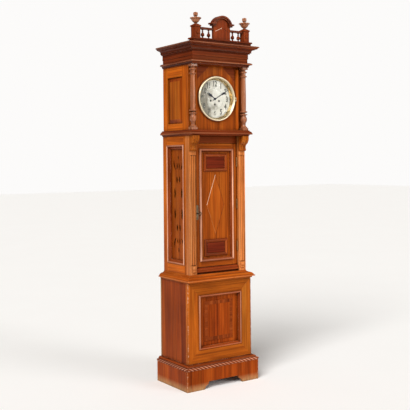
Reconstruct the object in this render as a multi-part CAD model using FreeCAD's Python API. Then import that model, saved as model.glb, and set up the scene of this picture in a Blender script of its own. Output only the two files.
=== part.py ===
import FreeCAD, Part
import math
import os

# Longcase clock with a three-train weight-driven movement.
# Millimetres, +Z up, front of the clock towards -Y, centred on the floor.
# Depths are measured forwards from the back of the case.

V = FreeCAD.Vector
UP = V(0, 0, 1)
RIGHT = V(1, 0, 0)
FORE_AND_AFT = V(0, 1, 0)
ORIGIN = V(0, 0, 0)
FAR = 900.0

# ---- driving sizes; every other size steps from these ----
CASE_HALF = 240.0
CASE_DEPTH = 298.0
PLINTH_HEIGHT = 124.0
BASE_HEIGHT = 490.0
TRUNK_HEIGHT = 851.0
HOOD_HEIGHT = 398.0
BOARD = 20.0
BACK_BOARD = 12.0
CORNICE_REACH = 51.0

# half widths of the stages
PLINTH_HALF = CASE_HALF + 29.5
BASE_HALF = CASE_HALF
TRUNK_HALF = CASE_HALF - 27
HOOD_HALF = TRUNK_HALF - 5
FRIEZE_HALF = TRUNK_HALF - 1

# depths of the stages
TRUNK_DEPTH = CASE_DEPTH
BASE_DEPTH = CASE_DEPTH + 14.5
PLINTH_DEPTH = CASE_DEPTH + 48
WAIST_DEPTH = CASE_DEPTH + 36
HOOD_DEPTH = CASE_DEPTH - 10
FRIEZE_DEPTH = CASE_DEPTH + 45
CORNICE_DEPTH = FRIEZE_DEPTH + CORNICE_REACH
BACK_Y = CORNICE_DEPTH / 2

# levels of the stages
PLINTH_TOP = PLINTH_HEIGHT
BASE_BOTTOM = PLINTH_TOP + 32
BASE_TOP = BASE_BOTTOM + BASE_HEIGHT
TRUNK_BOTTOM = BASE_TOP + 46
TRUNK_TOP = TRUNK_BOTTOM + TRUNK_HEIGHT
HOOD_BOTTOM = TRUNK_TOP + 35
HOOD_TOP = HOOD_BOTTOM + HOOD_HEIGHT
FRIEZE_BOTTOM = HOOD_TOP + 27
FRIEZE_TOP = FRIEZE_BOTTOM + 54
CORNICE_TOP = FRIEZE_TOP + 49

# base panel opening
BASE_FRAME = 80.0
BASE_OPEN_HALF = BASE_HALF - BASE_FRAME
BASE_OPEN_HALF_Z = BASE_HEIGHT / 2 - BASE_FRAME
BASE_MIDDLE = (BASE_BOTTOM + BASE_TOP) / 2
BASE_FRAME_BACK = BASE_DEPTH - BOARD

# trunk front
PILASTER_INNER = TRUNK_HALF - 51
REED_WIDTH = 14.0
REED_BOTTOM = TRUNK_BOTTOM + 56
REED_TOP = TRUNK_TOP - 119
DOOR_HALF = PILASTER_INNER - 1.6
DOOR_FACE = CASE_DEPTH - 17
DOOR_BACK = DOOR_FACE - 22
DOOR_BOTTOM = TRUNK_BOTTOM + 43
DOOR_TOP = TRUNK_TOP - 48
DOOR_MIDDLE = (DOOR_BOTTOM + DOOR_TOP) / 2
DOOR_STILE = 42.0
DOOR_OPEN_HALF = DOOR_HALF - DOOR_STILE
DOOR_OPEN_HALF_Z = (DOOR_TOP - DOOR_BOTTOM) / 2 - DOOR_STILE
PANEL_FACE = DOOR_FACE - 9
TOP_PLAQUE = (DOOR_MIDDLE + DOOR_OPEN_HALF_Z - 76, DOOR_OPEN_HALF - 49.4, 36.0)
LOW_PLAQUE = (DOOR_MIDDLE - DOOR_OPEN_HALF_Z + 71.5, DOOR_OPEN_HALF - 50.4, 33.0)
LOZENGE_HALF = DOOR_OPEN_HALF - 51.4
LOZENGE_HALF_Z = DOOR_OPEN_HALF_Z - 151

# door hinges and lock
KNUCKLE = 4.0
HINGE_PIN = 1.5
HINGE_LEAF = 1.4
HINGE_LENGTH = 60.0
HINGE_X = DOOR_HALF - KNUCKLE + 1
HINGE_DEPTH = DOOR_FACE + KNUCKLE + 0.5
HINGE_LEVELS = (DOOR_MIDDLE - 265, DOOR_MIDDLE, DOOR_MIDDLE + 265)
LOCK_X = -(DOOR_HALF - 15.4)
KEY_Z = DOOR_MIDDLE - 49
KEY_STEM = 2.6
KEY_BIT = 10.0

# trunk sides
SIDE_OPEN_BACK = 50.0
SIDE_OPEN_FRONT = TRUNK_DEPTH - 60
SIDE_OPEN_BOTTOM = TRUNK_BOTTOM + 60
SIDE_OPEN_TOP = TRUNK_TOP - 59
FRET_BOARD = 5.0
FRET_MIDDLE_Z = (SIDE_OPEN_BOTTOM + SIDE_OPEN_TOP) / 2 + 2
FRET_DEPTH_SCALE = (SIDE_OPEN_FRONT - SIDE_OPEN_BACK) / 188
FRET_HEIGHT_SCALE = (SIDE_OPEN_TOP - SIDE_OPEN_BOTTOM) / 732

# hood sides and columns
HOOD_OPEN_BACK = 52.0
HOOD_OPEN_FRONT = HOOD_DEPTH - 68
HOOD_OPEN_BOTTOM = HOOD_BOTTOM + 42
HOOD_OPEN_TOP = HOOD_TOP - 65
COLUMN_X = HOOD_HALF - 14.5
COLUMN_DEPTH = HOOD_DEPTH + 29

# dial and bezel
DIAL_HALF = HOOD_HALF - 89.5
DIAL_Z = HOOD_BOTTOM + 196
DIAL_FACE = HOOD_DEPTH - 14
BEZEL_INNER = DIAL_HALF + 7
BEZEL_OUTER = BEZEL_INNER + 14.5
BEZEL_BACK = HOOD_DEPTH + 2
BEZEL_FRONT = BEZEL_BACK + 14
BEZEL_HINGE_X = BEZEL_OUTER + 0.9
BEZEL_HINGE_DEPTH = BEZEL_FRONT + 2.8
BEZEL_KNUCKLE = 2.2

# movement
RUNNING_FIT = 0.05
PLATE = 3.0
PLATE_HALF = 85.0
PLATE_FRONT = DIAL_FACE - 27
PLATE_BACK = PLATE_FRONT - 67
PLATE_TOP = DIAL_Z + 76
SEAT_TOP = DIAL_Z - 84
SEAT_BOARD = 18.0
CENTRE_ARBOR = 1.2
ARBOR_PLACES = {"left": (-32.0, DIAL_Z - 12), "centre": (0.0, DIAL_Z - 34), "right": (32.0, DIAL_Z - 12)}
FRONT_PIVOT = 3.0
REAR_PIVOT = 2.0
MOTION_CENTRES = 24.0
MOTION_ANGLE = 150.0
MOTION_X = MOTION_CENTRES * math.cos(math.radians(MOTION_ANGLE))
MOTION_Z = DIAL_Z + MOTION_CENTRES * math.sin(math.radians(MOTION_ANGLE))
CANNON_TEETH = 12
MINUTE_TEETH = 36
MOTION_MODULE = 2 * MOTION_CENTRES / (CANNON_TEETH + MINUTE_TEETH)
PINION_TEETH = 10
HOUR_TEETH = 40
HOUR_MODULE = 2 * MOTION_CENTRES / (PINION_TEETH + HOUR_TEETH)
CANNON_PIPE = 2.5
HOUR_PIPE = 4.4
MOTION_STUD = 1.5

# cables and weights, with the weights at the bottom of their fall
WEIGHT_PLACES = {"left": -62.0, "centre": 0.0, "right": 62.0}
CABLE_DEPTH = PLATE_BACK + 31
CABLE_RADIUS = 0.75
FALL_OFFSET = 15.0
DRUM_RADIUS = FALL_OFFSET - CABLE_RADIUS - 0.35
WEIGHT_RADIUS = 24.0
WEIGHT_BOTTOM = TRUNK_BOTTOM + 68
WEIGHT_TOP = WEIGHT_BOTTOM + 230
PULLEY_Z = WEIGHT_TOP + 40

# pendulum
PENDULUM_DEPTH = PLATE_BACK - 70
PENDULUM_AXIS_Z = DIAL_Z + 26
PENDULUM_STUD = 1.5
ROD_HALF = 7.0
ROD_THICK = 5.0
BOB_Z = TRUNK_BOTTOM + 188
BOB_RADIUS = 62.0

# gallery
GALLERY_DEPTH = FRIEZE_DEPTH - 1
GALLERY_FLOOR = CORNICE_TOP + 25
POST_X = FRIEZE_HALF - 26.5
POST_HALF = 20.5
POST_TOP = GALLERY_FLOOR + 68
RAIL_BOTTOM = POST_TOP - 12
PEDIMENT_HALF = 62.0
ARCH_CENTRE = GALLERY_FLOOR + 75
ARCH_OUTER = 73.0
ARCH_INNER = ARCH_OUTER - 18
ARCH_FOOT = ARCH_CENTRE + 26


# ---- small helpers ----
def block(x0, x1, d0, d1, z0, z1):
    """Rectangular piece between two depths measured from the back."""
    return Part.makeBox(x1 - x0, d1 - d0, z1 - z0, V(x0, BACK_Y - d1, z0))


def outline(steps, place):
    """Face bounded by straight steps (u, v) and arc steps ((u, v) halfway, (u, v) end)."""
    here = place(*steps[0])
    start = here
    edges = []
    for step in steps[1:]:
        if isinstance(step[0], tuple):
            there = place(*step[1])
            edges.append(Part.Arc(here, place(*step[0]), there).toShape())
        else:
            there = place(*step)
            edges.append(Part.makeLine(here, there))
        here = there
    if here.distanceToPoint(start) > 1e-6:
        edges.append(Part.makeLine(here, start))
    return Part.Face(Part.Wire(edges))


def along_x(steps, x0, x1):
    """Piece with a (depth, z) section running from x0 to x1."""
    return outline(steps, lambda d, z: V(x0, BACK_Y - d, z)).extrude(V(x1 - x0, 0, 0))


def along_depth(steps, d0, d1):
    """Piece with an (x, z) outline standing between two depths."""
    return outline(steps, lambda x, z: V(x, BACK_Y - d1, z)).extrude(V(0, d1 - d0, 0))


def turned(steps, x, depth):
    """Turned piece about a vertical axis; steps are (radius, z)."""
    face = outline(steps, lambda r, z: V(x + r, BACK_Y - depth, z))
    return face.revolve(V(x, BACK_Y - depth, 0), UP, 360)


def spun(steps, x, z):
    """Round piece about a fore-and-aft axis; steps are (radius, depth)."""
    face = outline(steps, lambda r, d: V(x + r, BACK_Y - d, z))
    return face.revolve(V(x, 0, z), FORE_AND_AFT, 360)


def pin(radius, x, z, d0, d1):
    """Plain cylinder about a fore-and-aft axis."""
    return Part.makeCylinder(radius, d1 - d0, V(x, BACK_Y - d1, z), FORE_AND_AFT)


def post(radius, x, depth, z0, z1):
    """Plain vertical cylinder."""
    return Part.makeCylinder(radius, z1 - z0, V(x, BACK_Y - depth, z0), UP)


def mirrored(shape):
    return shape.mirror(ORIGIN, RIGHT)


def pair(shape):
    return [shape, mirrored(shape)]


def rectangle(half_x, half_z):
    return [(-half_x, -half_z), (half_x, -half_z), (half_x, half_z), (-half_x, half_z)]


def moulding_three_sides(steps, half, depth):
    """Front and two side mouldings, mitred at the front corners; steps are (outward, z)."""
    inner = 90.0
    front_y = BACK_Y - depth
    front = outline(steps, lambda o, z: V(-FAR, front_y - o, z)).extrude(V(2 * FAR, 0, 0))
    front_limit = [(-(half - inner), front_y + inner), (-(half + inner), front_y - inner),
                   (half + inner, front_y - inner), (half - inner, front_y + inner)]
    side = outline(steps, lambda o, z: V(half + o, BACK_Y, z)).extrude(V(0, -FAR, 0))
    side_limit = [(half - inner, front_y + inner), (half + inner, front_y - inner),
                  (half + inner, BACK_Y), (half - inner, BACK_Y)]

    def cut_to(shape, plan):
        limit = outline(plan, lambda x, y: V(x, y, 0)).extrude(V(0, 0, 3 * FAR))
        return shape.common(limit).Solids[0]

    return [cut_to(front, front_limit)] + pair(cut_to(side, side_limit))


def mitred_frame(half_x, half_z, steps):
    """Four mitred members round a rectangle facing the front; steps are (outward, depth)."""
    reach = 90.0

    def member(half_length, half_across):
        long_piece = outline(steps, lambda o, d: V(-FAR, BACK_Y - d, half_across + o)).extrude(V(2 * FAR, 0, 0))
        limit_steps = [(-(half_length - reach), half_across - reach), (-(half_length + reach), half_across + reach),
                       (half_length + reach, half_across + reach), (half_length - reach, half_across - reach)]
        limit = outline(limit_steps, lambda x, z: V(x, -FAR, z)).extrude(V(0, 2 * FAR, 0))
        return long_piece.common(limit).Solids[0]

    def turned_by(shape, angle):
        copy = shape.copy()
        copy.rotate(ORIGIN, FORE_AND_AFT, angle)
        return copy

    head = member(half_x, half_z)
    jamb = member(half_z, half_x)
    return [head, turned_by(head, 180), turned_by(jamb, 90), turned_by(jamb, -90)]


def moved(shapes, x, y, z):
    for shape in shapes:
        shape.translate(V(x, y, z))
    return shapes


def to_left_side(shapes, middle_depth, middle_z):
    """Stand front-facing pieces, drawn about X = 0 with depth as distance out, on the left side."""
    placed = []
    for shape in shapes:
        copy = shape.copy()
        copy.translate(V(0, -BACK_Y, 0))
        copy.rotate(ORIGIN, UP, -90)
        copy.translate(V(0, BACK_Y - middle_depth, middle_z))
        placed.append(copy)
    return placed


def frustum(half_x, half_z, bevel, d0, d1):
    """Raised field whose edges slope in by the bevel, facing the front."""
    wires = []
    for shrink, depth in ((0.0, d0), (bevel, d1)):
        face = outline(rectangle(half_x - shrink, half_z - shrink), lambda x, z: V(x, BACK_Y - depth, z))
        wires.append(face.OuterWire)
    return Part.makeLoft(wires, True, True)


def gear(teeth, module, x, z, d0, d1, phase):
    """Spur wheel with tapered teeth; phase is the angle of one tooth in degrees."""
    root = module * (teeth - 2.5) / 2
    tip = module * (teeth + 1.7) / 2
    pitch = 2 * math.pi / teeth
    points = []
    for number in range(teeth):
        middle = math.radians(phase) + number * pitch
        for radius, share in ((root, -0.20), (tip, -0.08), (tip, 0.08), (root, 0.20)):
            angle = middle + share * pitch
            points.append((x + radius * math.cos(angle), z + radius * math.sin(angle)))
    return along_depth(points, d0, d1)


# ---- plinth and base ----
def plinth_boards():
    foot_inner = PLINTH_HALF - 125.5
    arch_half = foot_inner - 32
    arch_height = 45.0
    middle = (foot_inner + arch_half) / 2
    bow = 3.0
    steps = [(PLINTH_HALF, 0), (PLINTH_HALF, PLINTH_TOP), (-PLINTH_HALF, PLINTH_TOP), (-PLINTH_HALF, 0),
             (-foot_inner, 0)]
    steps.append(((-(foot_inner + middle) / 2 - bow, arch_height / 4 + bow), (-middle, arch_height / 2)))
    steps.append(((-(middle + arch_half) / 2 + bow, arch_height * 3 / 4 - bow), (-arch_half, arch_height)))
    steps.append((arch_half, arch_height))
    steps.append((((middle + arch_half) / 2 - bow, arch_height * 3 / 4 - bow), (middle, arch_height / 2)))
    steps.append((((foot_inner + middle) / 2 + bow, arch_height / 4 + bow), (foot_inner, 0)))
    front = along_depth(steps, PLINTH_DEPTH - BOARD, PLINTH_DEPTH)
    side = block(PLINTH_HALF - BOARD, PLINTH_HALF, 0, PLINTH_DEPTH - BOARD, 0, PLINTH_TOP)
    return [front] + pair(side)


def plinth_moulding():
    inner = -52.0
    lip = BASE_HALF - PLINTH_HALF
    low = PLINTH_TOP
    steps = [(inner, low), (-5, low), ((3, low + 8), (-5, low + 16)), (-9, low + 16), (-9, low + 19),
             ((-14, low + 27), (lip + 6, BASE_BOTTOM - 3)), (lip, BASE_BOTTOM - 3), (lip, BASE_BOTTOM), (inner, BASE_BOTTOM)]
    return moulding_three_sides(steps, PLINTH_HALF, PLINTH_DEPTH)


def base_front_frame():
    """Four mitred boards round the panel."""
    steps = [(0, BASE_FRAME_BACK), (BASE_FRAME, BASE_FRAME_BACK), (BASE_FRAME, BASE_DEPTH), (0, BASE_DEPTH)]
    return moved(mitred_frame(BASE_OPEN_HALF, BASE_OPEN_HALF_Z, steps), 0, 0, BASE_MIDDLE)


def base_panel_moulding():
    width = 15.0
    proud = BASE_DEPTH + 9
    steps = [(0, BASE_FRAME_BACK), (0, BASE_DEPTH + 2), ((-4, proud), (-9, BASE_DEPTH + 3)),
             ((-11, BASE_DEPTH - 4), (-width, BASE_DEPTH - 8)), (-width, BASE_FRAME_BACK)]
    return moved(mitred_frame(BASE_OPEN_HALF, BASE_OPEN_HALF_Z, steps), 0, 0, BASE_MIDDLE)


def base_panel():
    overlap = 10.0
    field_half = BASE_OPEN_HALF - 50
    field_half_z = BASE_OPEN_HALF_Z - 39
    panel = 12.0
    board = block(-BASE_OPEN_HALF - overlap, BASE_OPEN_HALF + overlap, BASE_FRAME_BACK - panel, BASE_FRAME_BACK,
                  BASE_MIDDLE - BASE_OPEN_HALF_Z - overlap, BASE_MIDDLE + BASE_OPEN_HALF_Z + overlap)
    field = frustum(field_half, field_half_z, 3.0, BASE_FRAME_BACK, BASE_FRAME_BACK + 4)
    field.translate(V(0, 0, BASE_MIDDLE))
    return [board.fuse(field)]


def base_sides():
    return pair(block(BASE_HALF - BOARD, BASE_HALF, BACK_BOARD, BASE_FRAME_BACK, BASE_BOTTOM, BASE_TOP))


def base_cap_moulding():
    inner = -45.0
    reach = 43.0
    top = TRUNK_BOTTOM
    steps = [(inner, BASE_TOP), (28, BASE_TOP), (28, BASE_TOP + 3), ((33, BASE_TOP + 9), (reach - 2, BASE_TOP + 10)),
             (reach, BASE_TOP + 10), (reach, BASE_TOP + 16), (reach - 5, BASE_TOP + 17),
             ((25, BASE_TOP + 32), (12, BASE_TOP + 34)), (11, BASE_TOP + 37),
             ((4, top - 6), (1.5, top)), (inner, top)]
    return moulding_three_sides(steps, TRUNK_HALF, TRUNK_DEPTH)


# ---- carcase boards ----
def case_floors():
    inner_half = TRUNK_HALF - 45.0
    trunk_floor = block(-inner_half, inner_half, BACK_BOARD, TRUNK_DEPTH - 45.0, TRUNK_BOTTOM - 20, TRUNK_BOTTOM - 2)
    shelf_back = DOOR_BACK
    shelf = block(-TRUNK_HALF, TRUNK_HALF, shelf_back, WAIST_DEPTH, TRUNK_TOP, HOOD_BOTTOM)
    shelf_side = block(TRUNK_HALF - 30, TRUNK_HALF, 0, shelf_back, TRUNK_TOP, HOOD_BOTTOM)
    soffit = block(-FRIEZE_HALF, FRIEZE_HALF, 0, FRIEZE_DEPTH, HOOD_TOP, HOOD_TOP + 14)
    top_half = FRIEZE_HALF - 45
    top_board = block(-top_half, top_half, 0, FRIEZE_DEPTH - 45, CORNICE_TOP - 20, CORNICE_TOP - 2)
    seat_half = HOOD_HALF - BOARD
    seat_back = PLATE_BACK - 40
    seat_front = PLATE_FRONT + 3
    seat_low = SEAT_TOP - SEAT_BOARD
    seat = block(-seat_half, seat_half, seat_back, seat_front, seat_low, SEAT_TOP)
    for side in WEIGHT_PLACES:
        x = lead_x(side)
        seat = seat.cut(block(x - 6, x + 6, CABLE_DEPTH - 16, CABLE_DEPTH + 16, seat_low - 5, SEAT_TOP + 5))
    bracket = block(seat_half - 24, seat_half, seat_back, seat_front, seat_low - 30, seat_low)
    return [trunk_floor, shelf, soffit, top_board, seat] + pair(shelf_side) + pair(bracket)


def back_boards():
    base_back = block(-BASE_HALF, BASE_HALF, 0, BACK_BOARD, BASE_BOTTOM, BASE_TOP)
    trunk_half = TRUNK_HALF - BOARD
    trunk_back = block(-trunk_half, trunk_half, 0, BACK_BOARD, TRUNK_BOTTOM, TRUNK_TOP)
    hood_half = HOOD_HALF - BOARD
    hood_back = block(-hood_half, hood_half, 0, BACK_BOARD, HOOD_BOTTOM, HOOD_TOP)
    cap_half = TRUNK_HALF - 45
    cap_back = block(-cap_half, cap_half, 0, BACK_BOARD, BASE_TOP, TRUNK_BOTTOM)
    waist_half = TRUNK_HALF - 30
    waist_back = block(-waist_half, waist_half, 0, BACK_BOARD, TRUNK_TOP, HOOD_BOTTOM)
    top_half = FRIEZE_HALF - 45
    top_back = block(-top_half, top_half, 0, BACK_BOARD, HOOD_TOP + 14, CORNICE_TOP - 20)
    wall_hole_x = 100.0
    wall_hole_z = HOOD_TOP - 36
    for x in (-wall_hole_x, wall_hole_x):
        hood_back = hood_back.cut(pin(3.0, x, wall_hole_z, -1, BACK_BOARD + 1))
    return [base_back, cap_back, trunk_back, waist_back, hood_back, top_back]


# ---- trunk ----
def trunk_side_frames():
    inner = TRUNK_HALF - BOARD
    back_stile = block(inner, TRUNK_HALF, 0, SIDE_OPEN_BACK, TRUNK_BOTTOM, TRUNK_TOP)
    front_stile = block(inner, TRUNK_HALF, SIDE_OPEN_FRONT, DOOR_BACK, TRUNK_BOTTOM, TRUNK_TOP)
    top_rail = block(inner, TRUNK_HALF, SIDE_OPEN_BACK, SIDE_OPEN_FRONT, SIDE_OPEN_TOP, TRUNK_TOP)
    bottom_rail = block(inner, TRUNK_HALF, SIDE_OPEN_BACK, SIDE_OPEN_FRONT, TRUNK_BOTTOM, SIDE_OPEN_BOTTOM)
    members = []
    for piece in (back_stile, front_stile, top_rail, bottom_rail):
        members += pair(piece)
    return members


def trunk_side_mouldings():
    """Bolection round each fretted opening: a raised roll outside and a hollow down to the fret."""
    half_d = (SIDE_OPEN_FRONT - SIDE_OPEN_BACK) / 2
    half_z = (SIDE_OPEN_TOP - SIDE_OPEN_BOTTOM) / 2
    out = TRUNK_HALF
    width = 20.0
    steps = [(0, out - BOARD), (0, out), (4, out), (4, out + 2), ((-1, out + 7), (-7, out + 2)),
             ((-11, out - 6), (-width, out - 10)), (-width, out - BOARD)]
    frame = mitred_frame(half_d, half_z, steps)
    left = to_left_side(frame, (SIDE_OPEN_FRONT + SIDE_OPEN_BACK) / 2, (SIDE_OPEN_TOP + SIDE_OPEN_BOTTOM) / 2)
    return left + [mirrored(piece) for piece in left]


def fret_cutter(steps):
    """Cutter through the left fret board; steps are (y, z) about the middle of the opening."""
    middle_y = BACK_Y - (SIDE_OPEN_BACK + SIDE_OPEN_FRONT) / 2
    start_x = BOARD - TRUNK_HALF - 2

    def place(u, v):
        return V(start_x, middle_y + u * FRET_DEPTH_SCALE, FRET_MIDDLE_Z + v * FRET_HEIGHT_SCALE)

    return outline(steps, place).extrude(V(FRET_BOARD + 4, 0, 0))


def petal(y, z, length, width):
    """Upright slot pointed at both ends."""
    half = length / 2
    return fret_cutter([(y, z - half), ((y + width / 2, z), (y, z + half)), ((y - width / 2, z), (y, z - half))])


def crescent(side, up):
    """Curved slot sweeping down and inwards from an outer horn."""
    horn_y = 46
    horn_z = 278
    tip_y = 27
    tip_z = 212
    middle_y = (horn_y + tip_y) / 2
    middle_z = (horn_z + tip_z) / 2
    bulge = 17
    hollow = 3

    def at(y, z):
        return (side * y, up * z)

    return fret_cutter([at(horn_y, horn_z), (at(middle_y + bulge, middle_z - bulge / 3), at(tip_y, tip_z)),
                        (at(middle_y + hollow, middle_z - hollow / 3), at(horn_y, horn_z))])


def fret_slots():
    """Slots of the left fret: a tulip at each end, then a close pair and a wide pair."""
    slots = []
    for up in (1, -1):
        for side in (1, -1):
            slots.append(petal(side * 40, up * 65, 74, 19))
            slots.append(petal(side * 15, up * 150, 48, 17))
            slots.append(petal(side * 12, up * 235, 48, 13))
            slots.append(crescent(side, up))
        slots.append(petal(0, up * 288, 34, 13))
    return slots


def fret_panels():
    overlap = 8.0
    outer = TRUNK_HALF - BOARD
    board = block(-outer, -outer + FRET_BOARD, SIDE_OPEN_BACK - overlap, SIDE_OPEN_FRONT + overlap,
                  SIDE_OPEN_BOTTOM - overlap, SIDE_OPEN_TOP + overlap)
    board = board.cut(fret_slots())
    return pair(board)


def pilasters():
    """Corner posts with three sunk reeds and a small drop at the foot."""
    sink = 8.0
    reeds = 3
    board = block(PILASTER_INNER, TRUNK_HALF, DOOR_BACK, TRUNK_DEPTH, TRUNK_BOTTOM, TRUNK_TOP)
    first = PILASTER_INNER + 2
    board = board.cut(block(first, first + reeds * REED_WIDTH, TRUNK_DEPTH - sink, TRUNK_DEPTH + 1, REED_BOTTOM,
                            REED_TOP))
    radius = REED_WIDTH / 2 - 0.3
    for number in range(reeds):
        x = first + REED_WIDTH * (number + 0.5)
        depth = TRUNK_DEPTH - radius
        reed = post(radius, x, depth, REED_BOTTOM + radius, REED_TOP - radius)
        for end in (REED_BOTTOM + radius, REED_TOP - radius):
            reed = reed.fuse(Part.makeSphere(radius, V(x, BACK_Y - depth, end)))
        board = board.fuse(reed)
    drop_top = REED_BOTTOM - 2
    drop = along_x([(TRUNK_DEPTH - 1, drop_top), (TRUNK_DEPTH + 5, drop_top), ((TRUNK_DEPTH + 9, drop_top - 14),
                    (TRUNK_DEPTH + 4, drop_top - 26)), ((TRUNK_DEPTH + 7, drop_top - 34), (TRUNK_DEPTH, drop_top - 40)),
                    (TRUNK_DEPTH - 1, drop_top - 40)], PILASTER_INNER + 11, PILASTER_INNER + 34)
    board = board.fuse(drop).removeSplitter()
    return pair(board)


def corbels():
    """Three-reed scroll consoles under the waist shelf."""
    top = TRUNK_TOP
    face = TRUNK_DEPTH
    inner = PILASTER_INNER + 2
    width = 15.0
    gap = 2.0

    def console(shrink, x0, x1):
        steps = [(face, top), (face + 44 - shrink, top), (face + 44 - shrink, top - 10),
                 ((face + 38 - shrink, top - 36), (face + 18 - shrink, top - 54)),
                 ((face + 12 - shrink, top - 66), (face + 12 - shrink, top - 78)),
                 ((face + 10 - shrink, top - 90), (face, top - 95))]
        return along_x(steps, x0, x1)

    body = console(2.5, inner, inner + 3 * width + 2 * gap)
    for number in range(3):
        start = inner + number * (width + gap)
        body = body.fuse(console(0, start, start + width))
    roll = Part.makeCylinder(7, 3 * width + 2 * gap, V(inner, BACK_Y - face - 7.5, top - 86), RIGHT)
    return pair(body.fuse(roll))


def trunk_front_rails():
    top_rail = block(-PILASTER_INNER, PILASTER_INNER, DOOR_BACK, DOOR_FACE, DOOR_TOP + 3, TRUNK_TOP)
    face = DOOR_FACE - 2
    sill_top = DOOR_BOTTOM - 3
    low = TRUNK_BOTTOM
    sill = along_x([(DOOR_BACK, low), (face, low), (face, low + 8), (face + 14, low + 10),
                    ((face + 17, low + 16), (face + 13, low + 22)), (face + 9, low + 24),
                    ((face + 8, low + 32), (face + 2, sill_top - 3)), (face, sill_top - 2), (face, sill_top),
                    (DOOR_BACK, sill_top)], -PILASTER_INNER, PILASTER_INNER)
    return [top_rail, sill]


def waist_moulding():
    low = TRUNK_TOP
    steps = [(0, low), (5, low), (5, low + 2), ((9, low + 8), (17, low + 9)), (21, low + 10),
             (21, low + 17), (18, low + 19), ((15, low + 26), (8, low + 29)), (8, HOOD_BOTTOM), (0, HOOD_BOTTOM)]
    return moulding_three_sides(steps, TRUNK_HALF, WAIST_DEPTH)


# ---- trunk door ----
def door_frame():
    z0 = DOOR_BOTTOM
    z1 = DOOR_TOP
    right_stile = block(DOOR_OPEN_HALF, DOOR_HALF, DOOR_BACK, DOOR_FACE, z0, z1)
    left_stile = mirrored(right_stile)
    left_stile = left_stile.cut(pin(KEY_STEM + 0.6, LOCK_X, KEY_Z, DOOR_BACK - 1, DOOR_FACE + 1))
    for level in HINGE_LEVELS:
        right_stile = right_stile.cut(block(DOOR_HALF - HINGE_LEAF, DOOR_HALF + 1, DOOR_BACK + 2, DOOR_FACE + 1,
                                            level - HINGE_LENGTH / 2, level + HINGE_LENGTH / 2))
    top_rail = block(-DOOR_OPEN_HALF, DOOR_OPEN_HALF, DOOR_BACK, DOOR_FACE, z1 - DOOR_STILE, z1)
    bottom_rail = block(-DOOR_OPEN_HALF, DOOR_OPEN_HALF, DOOR_BACK, DOOR_FACE, z0, z0 + DOOR_STILE)
    return [left_stile, right_stile, top_rail, bottom_rail]


def door_moulding():
    """Bolection round the panel and the small frames round the two plaques."""
    face = DOOR_FACE
    steps = [(0, PANEL_FACE), (0, face), (9, face), (9, face + 3), ((3, face + 12), (-3, face + 5)),
             ((-5, face), (-9, face - 4)), (-9, PANEL_FACE)]
    pieces = moved(mitred_frame(DOOR_OPEN_HALF, DOOR_OPEN_HALF_Z, steps), 0, 0, DOOR_MIDDLE)
    band = 20.0
    small = [(0, PANEL_FACE), (band, PANEL_FACE), (band, PANEL_FACE + 3), ((band / 2, PANEL_FACE + 8), (0, PANEL_FACE + 4))]
    for z, half_x, half_z in (TOP_PLAQUE, LOW_PLAQUE):
        pieces += moved(mitred_frame(half_x, half_z, small), 0, 0, z)
    return pieces


def door_plaques():
    plaques = []
    for z, half_x, half_z in (TOP_PLAQUE, LOW_PLAQUE):
        plaque = frustum(half_x, half_z, 2.0, PANEL_FACE, PANEL_FACE + 3)
        plaque.translate(V(0, 0, z))
        plaques.append(plaque)
    return plaques


def door_panel():
    """Panel with a sunk lozenge line."""
    panel = block(-DOOR_OPEN_HALF, DOOR_OPEN_HALF, PANEL_FACE - 10, PANEL_FACE, DOOR_MIDDLE - DOOR_OPEN_HALF_Z,
                  DOOR_MIDDLE + DOOR_OPEN_HALF_Z)
    half_x = LOZENGE_HALF
    half_z = LOZENGE_HALF_Z
    groove = 2.2
    outer = along_depth([(0, -half_z), (half_x, 0), (0, half_z), (-half_x, 0)], PANEL_FACE - 1.5, PANEL_FACE + 1)
    inner_x = half_x - groove * 1.07
    inner_z = half_z - groove * 3
    inner = along_depth([(0, -inner_z), (inner_x, 0), (0, inner_z), (-inner_x, 0)], PANEL_FACE - 2, PANEL_FACE + 2)
    line = outer.cut(inner)
    line.translate(V(0, 0, DOOR_MIDDLE))
    return [panel.cut(line)]


def door_lock():
    """Open-faced lock case behind the stile, with the key plate in front."""
    wall = 1.5
    x0 = LOCK_X - 13
    x1 = LOCK_X + 21
    z0 = KEY_Z - 20
    z1 = KEY_Z + 38
    depth = DOOR_BACK - 14
    case = block(x0, x1, depth, DOOR_BACK, z0, z1)
    case = case.cut(block(x0 + wall, x1 - wall, depth + 2, DOOR_BACK + 1, z0 + 2, z1 - 2))
    bolt = lock_bolt()[0].BoundBox
    slack = 0.6
    case = case.cut(block(x0 - 1, x0 + wall + 1, BACK_Y - bolt.YMax - slack, BACK_Y - bolt.YMin + slack,
                          bolt.ZMin - slack, bolt.ZMax + slack))
    plate_low = KEY_Z - 32
    plate_high = KEY_Z + 42
    half = 9.0
    face = DOOR_FACE + 1.5
    plate = block(LOCK_X - half, LOCK_X + half, DOOR_FACE, face, plate_low, plate_high)
    ends = [pin(half, LOCK_X, z, DOOR_FACE, face) for z in (plate_low, plate_high)]
    plate = plate.fuse(ends).removeSplitter()
    plate = plate.cut(pin(KEY_STEM + 0.6, LOCK_X, KEY_Z, DOOR_FACE - 1, face + 1))
    return [case, plate]


def lock_bolt():
    return [block(LOCK_X - 26, LOCK_X + 4, DOOR_BACK - 10, DOOR_BACK - 2, KEY_Z + 19, KEY_Z + 31)]


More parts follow.
